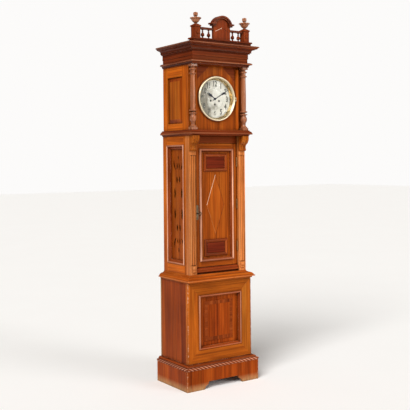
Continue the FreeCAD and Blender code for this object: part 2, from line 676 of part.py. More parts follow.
def door_key():
    """Key standing in the lock: ring bow, collar, stem and bit."""
    inner_end = DOOR_BACK - 10
    outer_end = DOOR_FACE + 25
    bow_radius = 9.5
    bow_wire = 2.4
    stem = pin(KEY_STEM, LOCK_X, KEY_Z, inner_end, outer_end)
    collar = pin(KEY_STEM + 1.6, LOCK_X, KEY_Z, DOOR_FACE + 4, DOOR_FACE + 8)
    bow = Part.makeTorus(bow_radius, bow_wire, V(LOCK_X, BACK_Y - outer_end - bow_radius + 0.5, KEY_Z), RIGHT)
    bit = block(LOCK_X - 1, LOCK_X + 1, inner_end, inner_end + 7, KEY_Z - KEY_BIT, KEY_Z)
    return [stem.fuse([collar, bow, bit])]


def knuckle(x, depth, z0, z1, radius):
    return post(radius, x, depth, z0, z1)


def hinge_halves(x, depth, level, length, moving_leaf, fixed_leaf, radius):
    """One butt hinge: the moving half carries the pin and the two outer knuckles."""
    third = length / 3
    low = level - length / 2
    gap = 0.3
    moving = knuckle(x, depth, low, low + third - gap, radius)
    moving = moving.fuse([knuckle(x, depth, low + 2 * third + gap, low + length, radius),
                          post(HINGE_PIN, x, depth, low, low + length)])
    x0, x1, d0, d1 = moving_leaf
    moving = moving.fuse([block(x0, x1, d0, d1, low, low + third - gap),
                          block(x0, x1, d0, d1, low + 2 * third + gap, low + length)])
    fixed = knuckle(x, depth, low + third, low + 2 * third, radius)
    x0, x1, d0, d1 = fixed_leaf
    fixed = fixed.fuse(block(x0, x1, d0, d1, low + third, low + 2 * third))
    fixed = fixed.cut(post(HINGE_PIN + RUNNING_FIT, x, depth, low, low + length))
    return moving, fixed


def door_hinges():
    moving = []
    fixed = []
    for level in HINGE_LEVELS:
        halves = hinge_halves(HINGE_X, HINGE_DEPTH, level, HINGE_LENGTH,
                              (DOOR_HALF - HINGE_LEAF, DOOR_HALF, DOOR_BACK + 2, HINGE_DEPTH),
                              (DOOR_HALF, PILASTER_INNER, PANEL_FACE, HINGE_DEPTH), KNUCKLE)
        moving.append(halves[0])
        fixed.append(halves[1])
    return moving, fixed


# ---- hood ----
def hood_side_frames():
    inner = HOOD_HALF - BOARD
    front = HOOD_DEPTH - BOARD
    back = HOOD_OPEN_BACK
    fore = HOOD_OPEN_FRONT
    pieces = [block(inner, HOOD_HALF, 0, back, HOOD_BOTTOM, HOOD_TOP),
              block(inner, HOOD_HALF, fore, front, HOOD_BOTTOM, HOOD_TOP),
              block(inner, HOOD_HALF, back, fore, HOOD_OPEN_TOP, HOOD_TOP),
              block(inner, HOOD_HALF, back, fore, HOOD_BOTTOM, HOOD_OPEN_BOTTOM)]
    members = []
    for piece in pieces:
        members += pair(piece)
    return members


def hood_side_panels():
    half_d = (HOOD_OPEN_FRONT - HOOD_OPEN_BACK) / 2
    half_z = (HOOD_OPEN_TOP - HOOD_OPEN_BOTTOM) / 2
    middle_depth = (HOOD_OPEN_FRONT + HOOD_OPEN_BACK) / 2
    middle_z = (HOOD_OPEN_TOP + HOOD_OPEN_BOTTOM) / 2
    sunk = HOOD_HALF - 10
    board = outline(rectangle(half_d, half_z), lambda x, z: V(x, BACK_Y - sunk, z)).extrude(V(0, 8, 0))
    field = frustum(half_d - 3, half_z - 3, 24.0, sunk, sunk + 9)
    left = to_left_side([board.fuse(field)], middle_depth, middle_z)[0]
    return pair(left)


def hood_front():
    """Dial board with its round opening, and the rounded strips beside the bezel."""
    board = block(-HOOD_HALF, HOOD_HALF, HOOD_DEPTH - BOARD, HOOD_DEPTH, HOOD_BOTTOM, HOOD_TOP)
    board = board.cut(pin(BEZEL_INNER + 3.5, 0, DIAL_Z, HOOD_DEPTH - 2 * BOARD, HOOD_DEPTH + 5))
    face = HOOD_DEPTH
    x0 = BEZEL_OUTER + 8
    x1 = COLUMN_X - 24
    strip_steps = [(x0, face), (x0, face + 4), (((x0 + x1) / 2, face + 16), (x1, face + 4)), (x1, face)]
    strip = outline(strip_steps, lambda x, d: V(x, BACK_Y - d, HOOD_BOTTOM + 4)).extrude(V(0, 0, HOOD_HEIGHT - 18))
    return [board] + pair(strip)


def hood_columns():
    """Turned columns with square plinth and abacus blocks."""
    z0 = HOOD_BOTTOM
    z1 = HOOD_TOP
    base = block(COLUMN_X - 20, COLUMN_X + 20, COLUMN_DEPTH - 20, COLUMN_DEPTH + 20, z0, z0 + 15)
    abacus = block(COLUMN_X - 20, COLUMN_X + 20, COLUMN_DEPTH - 20, COLUMN_DEPTH + 20, z1 - 14, z1)
    steps = [(0, z0 + 15), (19, z0 + 15), ((22, z0 + 19), (18, z0 + 23)), ((12, z0 + 32), (10.5, z0 + 38)),
             ((14, z0 + 41), (10.5, z0 + 44)), ((19.5, z0 + 62), (17.5, z0 + 84)), ((14, z0 + 90), (21.5, z0 + 97)),
             ((23.5, z0 + 100), (20, z0 + 103)), (11, z0 + 105), (11, z0 + 110), (20.5, z0 + 113),
             ((23.5, z0 + 117), (20.5, z0 + 121)), ((15, z0 + 124), (14.5, z0 + 130)), (15.5, z0 + 200),
             (13.5, z1 - 66), ((15, z1 - 64), (13.5, z1 - 62)), (20, z1 - 60), ((22, z1 - 57), (20, z1 - 54)),
             (14, z1 - 52), (14, z1 - 36), (20, z1 - 34), ((22.5, z1 - 30), (20, z1 - 26)),
             ((14, z1 - 24), (18.5, z1 - 14)), (0, z1 - 14)]
    shaft = turned(steps, COLUMN_X, COLUMN_DEPTH)
    flutes = 10
    flute_bottom = z0 + 134
    flute_top = z0 + 250
    cutters = []
    for number in range(flutes):
        angle = 2 * math.pi * number / flutes
        x = COLUMN_X + 16.6 * math.cos(angle)
        depth = COLUMN_DEPTH + 16.6 * math.sin(angle)
        cutters.append(post(2.6, x, depth, flute_bottom, flute_top))
    shaft = shaft.cut(cutters)
    return pair(shaft.fuse([base, abacus]))


# ---- entablature ----
def architrave_moulding():
    low = HOOD_TOP
    steps = [(0, low), (3, low), (3, low + 4), ((7, low + 11), (14, low + 13)), (19, low + 14), (19, low + 20),
             ((13, low + 25), (5, low + 27)), (-14, low + 27), (-14, low + 14), (0, low + 14)]
    return moulding_three_sides(steps, FRIEZE_HALF, FRIEZE_DEPTH)


def frieze_boards():
    split = FRIEZE_BOTTOM + 27
    steps = [(-BOARD, FRIEZE_BOTTOM), (-3, FRIEZE_BOTTOM), (-3, split - 3), (0.5, split - 2), (0.5, split + 1),
             (0, split + 1), (0, FRIEZE_TOP), (-BOARD, FRIEZE_TOP)]
    return moulding_three_sides(steps, FRIEZE_HALF, FRIEZE_DEPTH)


def cornice():
    low = FRIEZE_TOP
    reach = CORNICE_REACH
    steps = [(-45, low), (0, low), (5, low + 1), ((9, low + 3), (9, low + 7)), (15, low + 8), (15, low + 12),
             ((19, low + 24), (31, low + 27)), (31, low + 30), (37, low + 31), ((42, low + 33), (44, low + 38)),
             (48, low + 39), (reach, low + 41), (reach, CORNICE_TOP - 3), (reach - 6, CORNICE_TOP),
             (-45, CORNICE_TOP)]
    return moulding_three_sides(steps, FRIEZE_HALF, FRIEZE_DEPTH)


# ---- gallery ----
def gallery_base():
    half_depth = 30.0
    z0 = CORNICE_TOP
    z1 = GALLERY_FLOOR
    half = POST_X + POST_HALF + 17.5
    middle = GALLERY_DEPTH
    upper = block(-half, half, middle - half_depth, middle + half_depth, z1 - 9, z1)
    lower = block(-half + 6, half - 6, middle - half_depth + 6, middle + half_depth - 6, z0, z1 - 9)
    return [lower.fuse(upper)]


def gallery_posts():
    z1 = POST_TOP
    cap = POST_HALF + 4
    shaft = block(POST_X - POST_HALF, POST_X + POST_HALF, GALLERY_DEPTH - POST_HALF, GALLERY_DEPTH + POST_HALF,
                  GALLERY_FLOOR, z1)
    slab = block(POST_X - cap, POST_X + cap, GALLERY_DEPTH - cap, GALLERY_DEPTH + cap, z1, z1 + 8)
    wires = []
    for half, level in ((cap - 1, z1 + 8), (10.0, z1 + 17)):
        face = outline(rectangle(half, half), lambda x, y: V(POST_X + x, BACK_Y - GALLERY_DEPTH + y, level))
        wires.append(face.OuterWire)
    hip = Part.makeLoft(wires, True, True)
    boss_face = GALLERY_DEPTH + POST_HALF
    boss_z = POST_TOP - 35
    boss = pin(11, POST_X, boss_z, boss_face - 1, boss_face + 3)
    boss = boss.fuse(pin(7, POST_X, boss_z, boss_face, boss_face + 6))
    return pair(shaft.fuse([slab, hip, boss]))


def gallery_balustrade():
    """Hand rails and slim balusters with a bulb near the foot."""
    end = POST_X - POST_HALF
    rail = block(PEDIMENT_HALF, end, GALLERY_DEPTH - 11, GALLERY_DEPTH + 11, RAIL_BOTTOM, POST_TOP)
    z0 = GALLERY_FLOOR
    steps = [(0, z0), (8, z0), (8, z0 + 4), (4, z0 + 7), (4, z0 + 12), ((10, z0 + 16), (11, z0 + 23)),
             ((9, z0 + 31), (4.5, z0 + 36)), (4, z0 + 40), ((6, z0 + 42), (4, z0 + 44)), (3.5, RAIL_BOTTOM - 7),
             (7, RAIL_BOTTOM - 4), (7, RAIL_BOTTOM), (0, RAIL_BOTTOM)]
    pieces = pair(rail)
    for share in (0.28, 0.715):
        x = PEDIMENT_HALF + share * (end - PEDIMENT_HALF)
        pieces += pair(turned(steps, x, GALLERY_DEPTH))
    return pieces


def finials():
    """Bowl and saucer on a hipped cap, with a small ribbed crown."""
    z0 = POST_TOP + 17
    steps = [(0, z0), (10, z0), (10, z0 + 2), (7, z0 + 4), ((18, z0 + 12), (27, z0 + 27)), (29, z0 + 29),
             (34, z0 + 31), ((35, z0 + 34), (33, z0 + 37)), (20, z0 + 39), ((9, z0 + 42), (8, z0 + 46)),
             (12, z0 + 48), (12, z0 + 51), (0, z0 + 51)]
    body = turned(steps, POST_X, GALLERY_DEPTH)
    lobes = 6
    lobe = 4.8
    ring = 9.0
    for number in range(lobes):
        angle = 2 * math.pi * (number + 0.5) / lobes
        x = POST_X + ring * math.cos(angle)
        depth = GALLERY_DEPTH + ring * math.sin(angle)
        top = Part.makeSphere(lobe, V(x, BACK_Y - depth, z0 + 65))
        body = body.fuse([post(lobe, x, depth, z0 + 50, z0 + 65), top])
    core = turned([(0, z0 + 50), (6, z0 + 50), (6, z0 + 68), ((4, z0 + 71), (0, z0 + 72))], POST_X, GALLERY_DEPTH)
    return pair(body.fuse(core))


def ring_arc(outer, inner, level, d0, d1):
    """Arched band above a level."""
    a = math.sqrt(outer ** 2 - (level - ARCH_CENTRE) ** 2)
    b = math.sqrt(inner ** 2 - (level - ARCH_CENTRE) ** 2)
    return along_depth([(-a, level), ((0, ARCH_CENTRE + outer), (a, level)), (b, level),
                        ((0, ARCH_CENTRE + inner), (-b, level))], d0, d1)


def pediment_board():
    half = PEDIMENT_HALF
    step = ARCH_CENTRE + 8
    d0 = GALLERY_DEPTH - 7
    d1 = GALLERY_DEPTH + 15
    spring = math.sqrt(ARCH_INNER ** 2 - (ARCH_FOOT - ARCH_CENTRE) ** 2)
    board = along_depth([(-half, GALLERY_FLOOR), (half, GALLERY_FLOOR), (half, step), (spring, step),
                         (spring, ARCH_FOOT), ((0, ARCH_CENTRE + ARCH_INNER), (-spring, ARCH_FOOT)),
                         (-spring, step), (-half, step)], d0, d1)
    foot = ARCH_CENTRE - 26
    apex = ARCH_CENTRE - 2
    line = 2.5
    chevron = along_depth([(-50, foot), (0, apex), (50, foot), (50, foot + line), (0, apex + line),
                           (-50, foot + line)], d1 - 1.5, d1 + 1)
    return [board.cut(chevron)]


def pediment_arch():
    """Arched hood moulding with short level ears."""
    rise = ARCH_FOOT
    spring = math.sqrt(ARCH_INNER ** 2 - (rise - ARCH_CENTRE) ** 2)
    outer_band = ring_arc(ARCH_OUTER, ARCH_OUTER - 9, rise, GALLERY_DEPTH - 14, GALLERY_DEPTH + 30)
    inner_band = ring_arc(ARCH_OUTER - 9, ARCH_INNER, rise, GALLERY_DEPTH - 10, GALLERY_DEPTH + 24)
    ear = block(spring, ARCH_OUTER + 11, GALLERY_DEPTH - 14, GALLERY_DEPTH + 30, rise - 9, rise)
    under = block(spring, ARCH_OUTER + 2, GALLERY_DEPTH - 10, GALLERY_DEPTH + 24, rise - 18, rise - 9)
    return [outer_band.fuse([inner_band] + pair(ear) + pair(under)).removeSplitter()]


# ---- dial, bezel and hands ----
def dial():
    face = pin(BEZEL_INNER, 0, DIAL_Z, DIAL_FACE - 2, DIAL_FACE)
    holes = [pin(7, 0, DIAL_Z, DIAL_FACE - 5, DIAL_FACE + 5)]
    for x, z in ARBOR_PLACES.values():
        holes.append(pin(5.5, x, z, DIAL_FACE - 5, DIAL_FACE + 5))
    return [face.cut(holes)]


def bezel_hinge():
    """Small hinge at three o'clock between the ring and the rounded strip."""
    return hinge_halves(BEZEL_HINGE_X, BEZEL_HINGE_DEPTH, DIAL_Z, 24.0,
                        (BEZEL_OUTER - 9, BEZEL_HINGE_X, BEZEL_FRONT - 1.5, BEZEL_FRONT + 1),
                        (BEZEL_HINGE_X + 0.2, BEZEL_HINGE_X + 1.4, HOOD_DEPTH, BEZEL_HINGE_DEPTH), BEZEL_KNUCKLE)


def dial_surround():
    """Brass cone between dial and bezel, with its flange on the dial board."""
    cone = spun([(DIAL_HALF, DIAL_FACE), (BEZEL_INNER + 3, DIAL_FACE), (BEZEL_INNER + 3, HOOD_DEPTH),
                 (BEZEL_OUTER - 4, HOOD_DEPTH), (BEZEL_OUTER - 4, HOOD_DEPTH + 1.5), (BEZEL_INNER + 1, HOOD_DEPTH + 1.5)],
                0, DIAL_Z)
    return [cone, bezel_hinge()[1]]


def bezel_ring():
    ring = spun([(BEZEL_INNER + 5, BEZEL_BACK), (BEZEL_OUTER, BEZEL_BACK), (BEZEL_OUTER, BEZEL_BACK + 5),
                 ((BEZEL_OUTER - 5, BEZEL_FRONT - 0.4), (BEZEL_INNER + 4, BEZEL_FRONT - 3)),
                 (BEZEL_INNER, BEZEL_BACK + 4.5), (BEZEL_INNER, BEZEL_BACK + 4), (BEZEL_INNER + 5, BEZEL_BACK + 4)],
                0, DIAL_Z)
    return [ring.fuse(bezel_hinge()[0])]


def bezel_glass():
    return [pin(BEZEL_INNER + 4.7, 0, DIAL_Z, BEZEL_BACK + 1.5, BEZEL_BACK + 4)]


def hand_blade(points, d0, d1, angle):
    """Flat hand from half its outline, turned clockwise from twelve o'clock."""
    right_side = [(x, DIAL_Z + r) for x, r in points]
    left_side = [(-x, DIAL_Z + r) for x, r in reversed(points) if x > 0]
    blade = along_depth(right_side + left_side, d0, d1)
    blade.rotate(V(0, 0, DIAL_Z), FORE_AND_AFT, angle)
    return blade


def minute_hand():
    """Minute hand with cannon pinion and centre arbor."""
    tip = DIAL_HALF - 6.5
    d0 = DIAL_FACE + 5
    d1 = d0 + 1.2
    blade = hand_blade([(1.5, -20), (3.2, -14), (2.4, 0), (2.4, 0.47 * tip), (6.2, 0.63 * tip), (5.4, 0.72 * tip),
                        (2.2, 0.82 * tip), (0, tip)], d0, d1, 60)
    hub = pin(6.5, 0, DIAL_Z, d0, d1)
    cap = pin(3.2, 0, DIAL_Z, d1, d1 + 2.8)
    pipe = pin(CANNON_PIPE, 0, DIAL_Z, PLATE_FRONT + 5, d1 - 0.2)
    pinion = gear(CANNON_TEETH, MOTION_MODULE, 0, DIAL_Z, PLATE_FRONT + 3, PLATE_FRONT + 5.5, 90)
    arbor = pin(CENTRE_ARBOR, 0, DIAL_Z, PLATE_BACK - 2, PLATE_FRONT + 4)
    return [blade.fuse([hub, cap, pipe, pinion, arbor])]


def hour_hand():
    """Hour hand on its pipe, with the wheel that drives it."""
    tip = 0.6 * DIAL_HALF
    d0 = DIAL_FACE + 1.8
    d1 = d0 + 1.2
    blade = hand_blade([(3, 0), (2.8, 0.31 * tip), (8.5, 0.57 * tip), (7.2, 0.69 * tip), (2.6, 0.82 * tip), (0, tip)],
                       d0, d1, 305)
    hub = pin(8, 0, DIAL_Z, d0, d1)
    back = PLATE_FRONT + 7
    pipe = pin(HOUR_PIPE, 0, DIAL_Z, back, d1)
    wheel = gear(HOUR_TEETH, HOUR_MODULE, 0, DIAL_Z, back, back + 2, MOTION_ANGLE + 180 / HOUR_TEETH)
    solid = blade.fuse([hub, pipe, wheel])
    return [solid.cut(pin(CANNON_PIPE + RUNNING_FIT, 0, DIAL_Z, back - 1, d1 + 1))]


def minute_wheel():
    facing = MOTION_ANGLE + 180
    back = PLATE_FRONT + 3
    wheel = gear(MINUTE_TEETH, MOTION_MODULE, MOTION_X, MOTION_Z, back, back + 2.5, facing + 180 / MINUTE_TEETH)
    pinion = gear(PINION_TEETH, HOUR_MODULE, MOTION_X, MOTION_Z, back + 2.5, back + 6.5, facing)
    bore = pin(MOTION_STUD + RUNNING_FIT, MOTION_X, MOTION_Z, back - 1, back + 8)
    return [wheel.fuse(pinion).cut(bore)]


# ---- movement ----
def movement_plates():
    plates = []
    for front in (PLATE_FRONT, PLATE_BACK + PLATE):
        plate = block(-PLATE_HALF, PLATE_HALF, front - PLATE, front, SEAT_TOP, PLATE_TOP)
        holes = [pin(CENTRE_ARBOR + RUNNING_FIT, 0, z, front - 10, front + 5) for z in (DIAL_Z, PENDULUM_AXIS_Z)]
        radius = FRONT_PIVOT if front == PLATE_FRONT else REAR_PIVOT
        for x, z in ARBOR_PLACES.values():
            holes.append(pin(radius + RUNNING_FIT, x, z, front - 10, front + 5))
        plates.append(plate.cut(holes))
    pillars = []
    for z in (SEAT_TOP + 10, PLATE_TOP - 10):
        pillars += pair(pin(5, PLATE_HALF - 10, z, PLATE_BACK + PLATE, PLATE_FRONT - PLATE))
    stud = pin(MOTION_STUD, MOTION_X, MOTION_Z, PLATE_FRONT, PLATE_FRONT + 12)
    cock_top = PENDULUM_AXIS_Z + 16
    cock = block(-8, 8, PENDULUM_DEPTH + 6, PLATE_BACK, PENDULUM_AXIS_Z + 7, cock_top)
    cock = cock.fuse([block(-8, 8, PENDULUM_DEPTH + 6, PENDULUM_DEPTH + 14, PENDULUM_AXIS_Z - 6, cock_top),
                      pin(PENDULUM_STUD, 0, PENDULUM_AXIS_Z, PENDULUM_DEPTH - 6, PENDULUM_DEPTH + 8)])
    return plates + pillars + [stud, cock]


def barrel(side):
    """Cable drum with great wheel and squared winding arbor."""
    x, z = ARBOR_PLACES[side]
    rim_back = PLATE_BACK + 12
    wheel_back = PLATE_FRONT - 19
    teeth = 60
    module = 2 * (DRUM_RADIUS + 4.1) / teeth
    drum = pin(DRUM_RADIUS, x, z, rim_back + 2, wheel_back)
    rim = pin(DRUM_RADIUS + 2, x, z, rim_back, rim_back + 2)
    wheel = gear(teeth, module, x, z, wheel_back, wheel_back + 3, 90)
    front = pin(FRONT_PIVOT, x, z, wheel_back + 3, DIAL_FACE - 8)
    rear = pin(REAR_PIVOT, x, z, PLATE_BACK - 2, rim_back)
    square = along_depth([(x - 2, z - 2), (x + 2, z - 2), (x + 2, z + 2), (x - 2, z + 2)], DIAL_FACE - 8, DIAL_FACE + 2)
    return [drum.fuse([rim, wheel, front, rear, square])]


def lead_x(side):
    """Where the cable leaves its drum."""
    return WEIGHT_PLACES[side] + (-FALL_OFFSET if side != "left" else FALL_OFFSET)


def cable_leads():
    """Short lengths of cable between the drums and the seat board."""
    leads = []
    for side, (arbor_x, arbor_z) in ARBOR_PLACES.items():
        leads.append(post(CABLE_RADIUS, lead_x(side), CABLE_DEPTH, SEAT_TOP - SEAT_BOARD, arbor_z))
    return leads


def cable(side):
    """The two falls of one cable below the seat board."""
    falls = []
    for offset in (-FALL_OFFSET, FALL_OFFSET):
        falls.append(post(CABLE_RADIUS, WEIGHT_PLACES[side] + offset, CABLE_DEPTH, PULLEY_Z, SEAT_TOP - SEAT_BOARD))
    return falls


def weight(side):
    """Brass shell with domed ends, stirrup and pulley."""
    x = WEIGHT_PLACES[side]
    y = BACK_Y - CABLE_DEPTH
    r = WEIGHT_RADIUS
    shell = turned([(0, WEIGHT_BOTTOM), (r - 6, WEIGHT_BOTTOM), ((r - 1.5, WEIGHT_BOTTOM + 1.5), (r, WEIGHT_BOTTOM + 6)),
                    (r, WEIGHT_TOP - 6), ((r - 1.5, WEIGHT_TOP - 1.5), (r - 6, WEIGHT_TOP)), (0, WEIGHT_TOP)],
                   x, CABLE_DEPTH)
    wheel = pin(DRUM_RADIUS, x, PULLEY_Z, CABLE_DEPTH - 3, CABLE_DEPTH + 3)
    axle = pin(2, x, PULLEY_Z, CABLE_DEPTH - 8, CABLE_DEPTH + 8)
    straps = []
    for d0 in (CABLE_DEPTH - 8, CABLE_DEPTH + 6):
        straps.append(block(x - 4, x + 4, d0, d0 + 2, WEIGHT_TOP + 6, PULLEY_Z + 5))
    bridge = block(x - 4, x + 4, CABLE_DEPTH - 8, CABLE_DEPTH + 8, WEIGHT_TOP + 4, WEIGHT_TOP + 7)
    neck = Part.makeCylinder(3, 6, V(x, y, WEIGHT_TOP - 1), UP)
    return [shell.fuse([wheel, axle, bridge, neck] + straps)]


def anchor():
    """Pallet anchor, its arbor and the crutch fork that embraces the pendulum rod."""
    z = PENDULUM_AXIS_Z
    arms = along_depth([(0, z + 5), (20, z - 6), (22, z - 14), (18, z - 14), (15, z - 8), (0, z - 3), (-15, z - 8),
                        (-18, z - 14), (-22, z - 14), (-20, z - 6)], PLATE_FRONT - 13, PLATE_FRONT - 10)
    back = PLATE_BACK - 8
    arbor = pin(CENTRE_ARBOR, 0, z, back, PLATE_FRONT)
    crutch = block(-3, 3, back, back + 3, z - 70, z + 4)
    fork_half = ROD_HALF + 2
    bar = block(-fork_half, fork_half, back, back + 3, z - 73, z - 67)
    prongs = pair(block(ROD_HALF + 0.3, fork_half, PENDULUM_DEPTH - 6, back, z - 73, z - 67))
    return [arms.fuse([arbor, crutch, bar] + prongs)]


def pendulum_rod():
    z = PENDULUM_AXIS_Z
    low = BOB_Z - BOB_RADIUS
    half = ROD_THICK / 2
    head = block(-6, 6, PENDULUM_DEPTH - 3, PENDULUM_DEPTH + 3, z - 12, z + 6)
    rod = block(-ROD_HALF, ROD_HALF, PENDULUM_DEPTH - half, PENDULUM_DEPTH + half, low - 28, z - 12)
    nut = post(6, 0, PENDULUM_DEPTH, low - 14, low - 4)
    solid = rod.fuse([head, nut])
    return [solid.cut(pin(PENDULUM_STUD + RUNNING_FIT, 0, z, PENDULUM_DEPTH - 10, PENDULUM_DEPTH + 10))]


def pendulum_bob():
    d = PENDULUM_DEPTH
    lens = spun([(0, d - 16), ((34, d - 12), (BOB_RADIUS, d - 2)), (BOB_RADIUS, d + 2), ((34, d + 12), (0, d + 16))],
                0, BOB_Z)
    slot_half = ROD_HALF + RUNNING_FIT
    slot_depth = ROD_THICK / 2 + RUNNING_FIT
    slot = block(-slot_half, slot_half, d - slot_depth, d + slot_depth, BOB_Z - BOB_RADIUS - 5,
                 BOB_Z + BOB_RADIUS + 5)
    return [lens.cut(slot)]


def gong_rods():
    """Chime block on the back board with five hanging rods."""
    block_bottom = HOOD_BOTTOM + 22
    holder = block(-60, 60, BACK_BOARD, BACK_BOARD + 26, block_bottom, block_bottom + 40)
    rods = []
    for number in range(5):
        length = 330.0 - 22.0 * number
        rods.append(post(3, -40 + 20 * number, BACK_BOARD + 14, block_bottom - length, block_bottom))
    return [holder] + rods


def nodes():
    moving_hinges, fixed_hinges = door_hinges()
    parts = {
        "plinth_boards": plinth_boards(), "plinth_moulding": plinth_moulding(),
        "base_front_frame": base_front_frame(), "base_sides": base_sides(),
        "base_panel_moulding": base_panel_moulding(), "base_panel": base_panel(),
        "base_cap_moulding": base_cap_moulding(), "case_floors": case_floors(), "back_boards": back_boards(),
        "trunk_side_frames": trunk_side_frames(), "trunk_side_mouldings": trunk_side_mouldings(),
        "fret_panels": fret_panels(), "pilasters": pilasters(), "corbels": corbels(),
        "trunk_front_rails": trunk_front_rails(), "waist_moulding": waist_moulding(),
        "hood_side_frames": hood_side_frames(), "hood_side_panels": hood_side_panels(), "hood_front": hood_front(),
        "hood_columns": hood_columns(), "architrave_moulding": architrave_moulding(),
        "frieze_boards": frieze_boards(), "cornice": cornice(), "gallery_base": gallery_base(),
        "gallery_posts": gallery_posts(), "gallery_balustrade": gallery_balustrade(), "finials": finials(),
        "pediment_board": pediment_board(), "pediment_arch": pediment_arch(), "dial": dial(),
        "dial_surround": dial_surround(), "movement_plates": movement_plates(), "gong_rods": gong_rods(),
        "cable_leads": cable_leads(), "trunk_hinges_fixed": fixed_hinges, "door_frame": door_frame(),
        "door_moulding": door_moulding(), "door_panel": door_panel(), "door_plaques": door_plaques(),
        "door_lock": door_lock(), "trunk_hinges_moving": moving_hinges, "lock_bolt": lock_bolt(),
        "door_key": door_key(), "bezel_ring": bezel_ring(), "bezel_glass": bezel_glass(),
        "minute_hand": minute_hand(), "hour_hand": hour_hand(), "minute_wheel": minute_wheel(),
        "anchor": anchor(), "pendulum_rod": pendulum_rod(), "pendulum_bob": pendulum_bob(),
    }
    for side in WEIGHT_PLACES:
        parts["barrel_" + side] = barrel(side)
        parts["weight_" + side] = weight(side)
        parts["cable_" + side] = cable(side)
    return parts


os.makedirs("parts", exist_ok=True)
for name, solids in nodes().items():
    Part.makeCompound(solids).exportStep("parts/" + name + ".step")
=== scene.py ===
import bpy
import bmesh
import math
import random
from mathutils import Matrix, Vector

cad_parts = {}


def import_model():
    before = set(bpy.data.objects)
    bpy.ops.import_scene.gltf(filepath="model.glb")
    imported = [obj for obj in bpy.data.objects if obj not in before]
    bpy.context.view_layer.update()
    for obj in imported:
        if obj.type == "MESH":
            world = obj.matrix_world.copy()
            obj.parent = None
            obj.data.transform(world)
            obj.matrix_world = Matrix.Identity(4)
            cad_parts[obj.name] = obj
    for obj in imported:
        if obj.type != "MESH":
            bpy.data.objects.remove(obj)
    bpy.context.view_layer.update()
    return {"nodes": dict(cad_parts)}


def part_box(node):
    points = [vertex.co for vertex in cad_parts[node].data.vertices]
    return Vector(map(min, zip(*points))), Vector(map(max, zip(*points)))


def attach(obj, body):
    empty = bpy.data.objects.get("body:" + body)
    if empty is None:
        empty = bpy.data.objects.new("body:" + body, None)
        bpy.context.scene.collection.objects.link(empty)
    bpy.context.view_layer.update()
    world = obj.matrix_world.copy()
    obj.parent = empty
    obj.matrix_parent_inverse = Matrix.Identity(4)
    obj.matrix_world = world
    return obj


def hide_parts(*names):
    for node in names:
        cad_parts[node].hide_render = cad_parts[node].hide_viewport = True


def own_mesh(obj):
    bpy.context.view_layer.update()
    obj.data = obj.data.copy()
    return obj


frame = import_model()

random.seed(7)
NODES = frame["nodes"]

# ------------------------------------------------------------------ helpers


def solids_of(mesh):
    """Polygons of each closed solid in a node; a solid ends when every edge has met its partner."""
    keys = [tuple(round(c, 6) for c in vertex.co) for vertex in mesh.vertices]
    groups = []
    current = []
    unpaired = set()
    for polygon in mesh.polygons:
        current.append(polygon.index)
        ring = [keys[index] for index in polygon.vertices]
        for start, end in zip(ring, ring[1:] + ring[:1]):
            if start != end:
                unpaired ^= {(min(start, end), max(start, end))}
        if not unpaired:
            groups.append(current)
            current = []
    if current:
        groups.append(current)
    return groups


def longest_axis(mesh, polygon_indices):
    low = [1e9] * 3
    high = [-1e9] * 3
    for number in polygon_indices:
        for index in mesh.polygons[number].vertices:
            co = mesh.vertices[index].co
            for axis in range(3):
                low[axis] = min(low[axis], co[axis])
                high[axis] = max(high[axis], co[axis])
    spans = [high[axis] - low[axis] for axis in range(3)]
    return spans.index(max(spans))


def mesh_piece(name, vertices, faces, material, body="case"):
    mesh = bpy.data.meshes.new(name)
    mesh.from_pydata(vertices, [], faces)
    mesh.update()
    piece = bpy.data.objects.new(name, mesh)
    bpy.context.scene.collection.objects.link(piece)
    mesh.materials.append(material)
    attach(piece, body)
    return piece


# ---------------------------------------------------------------- materials


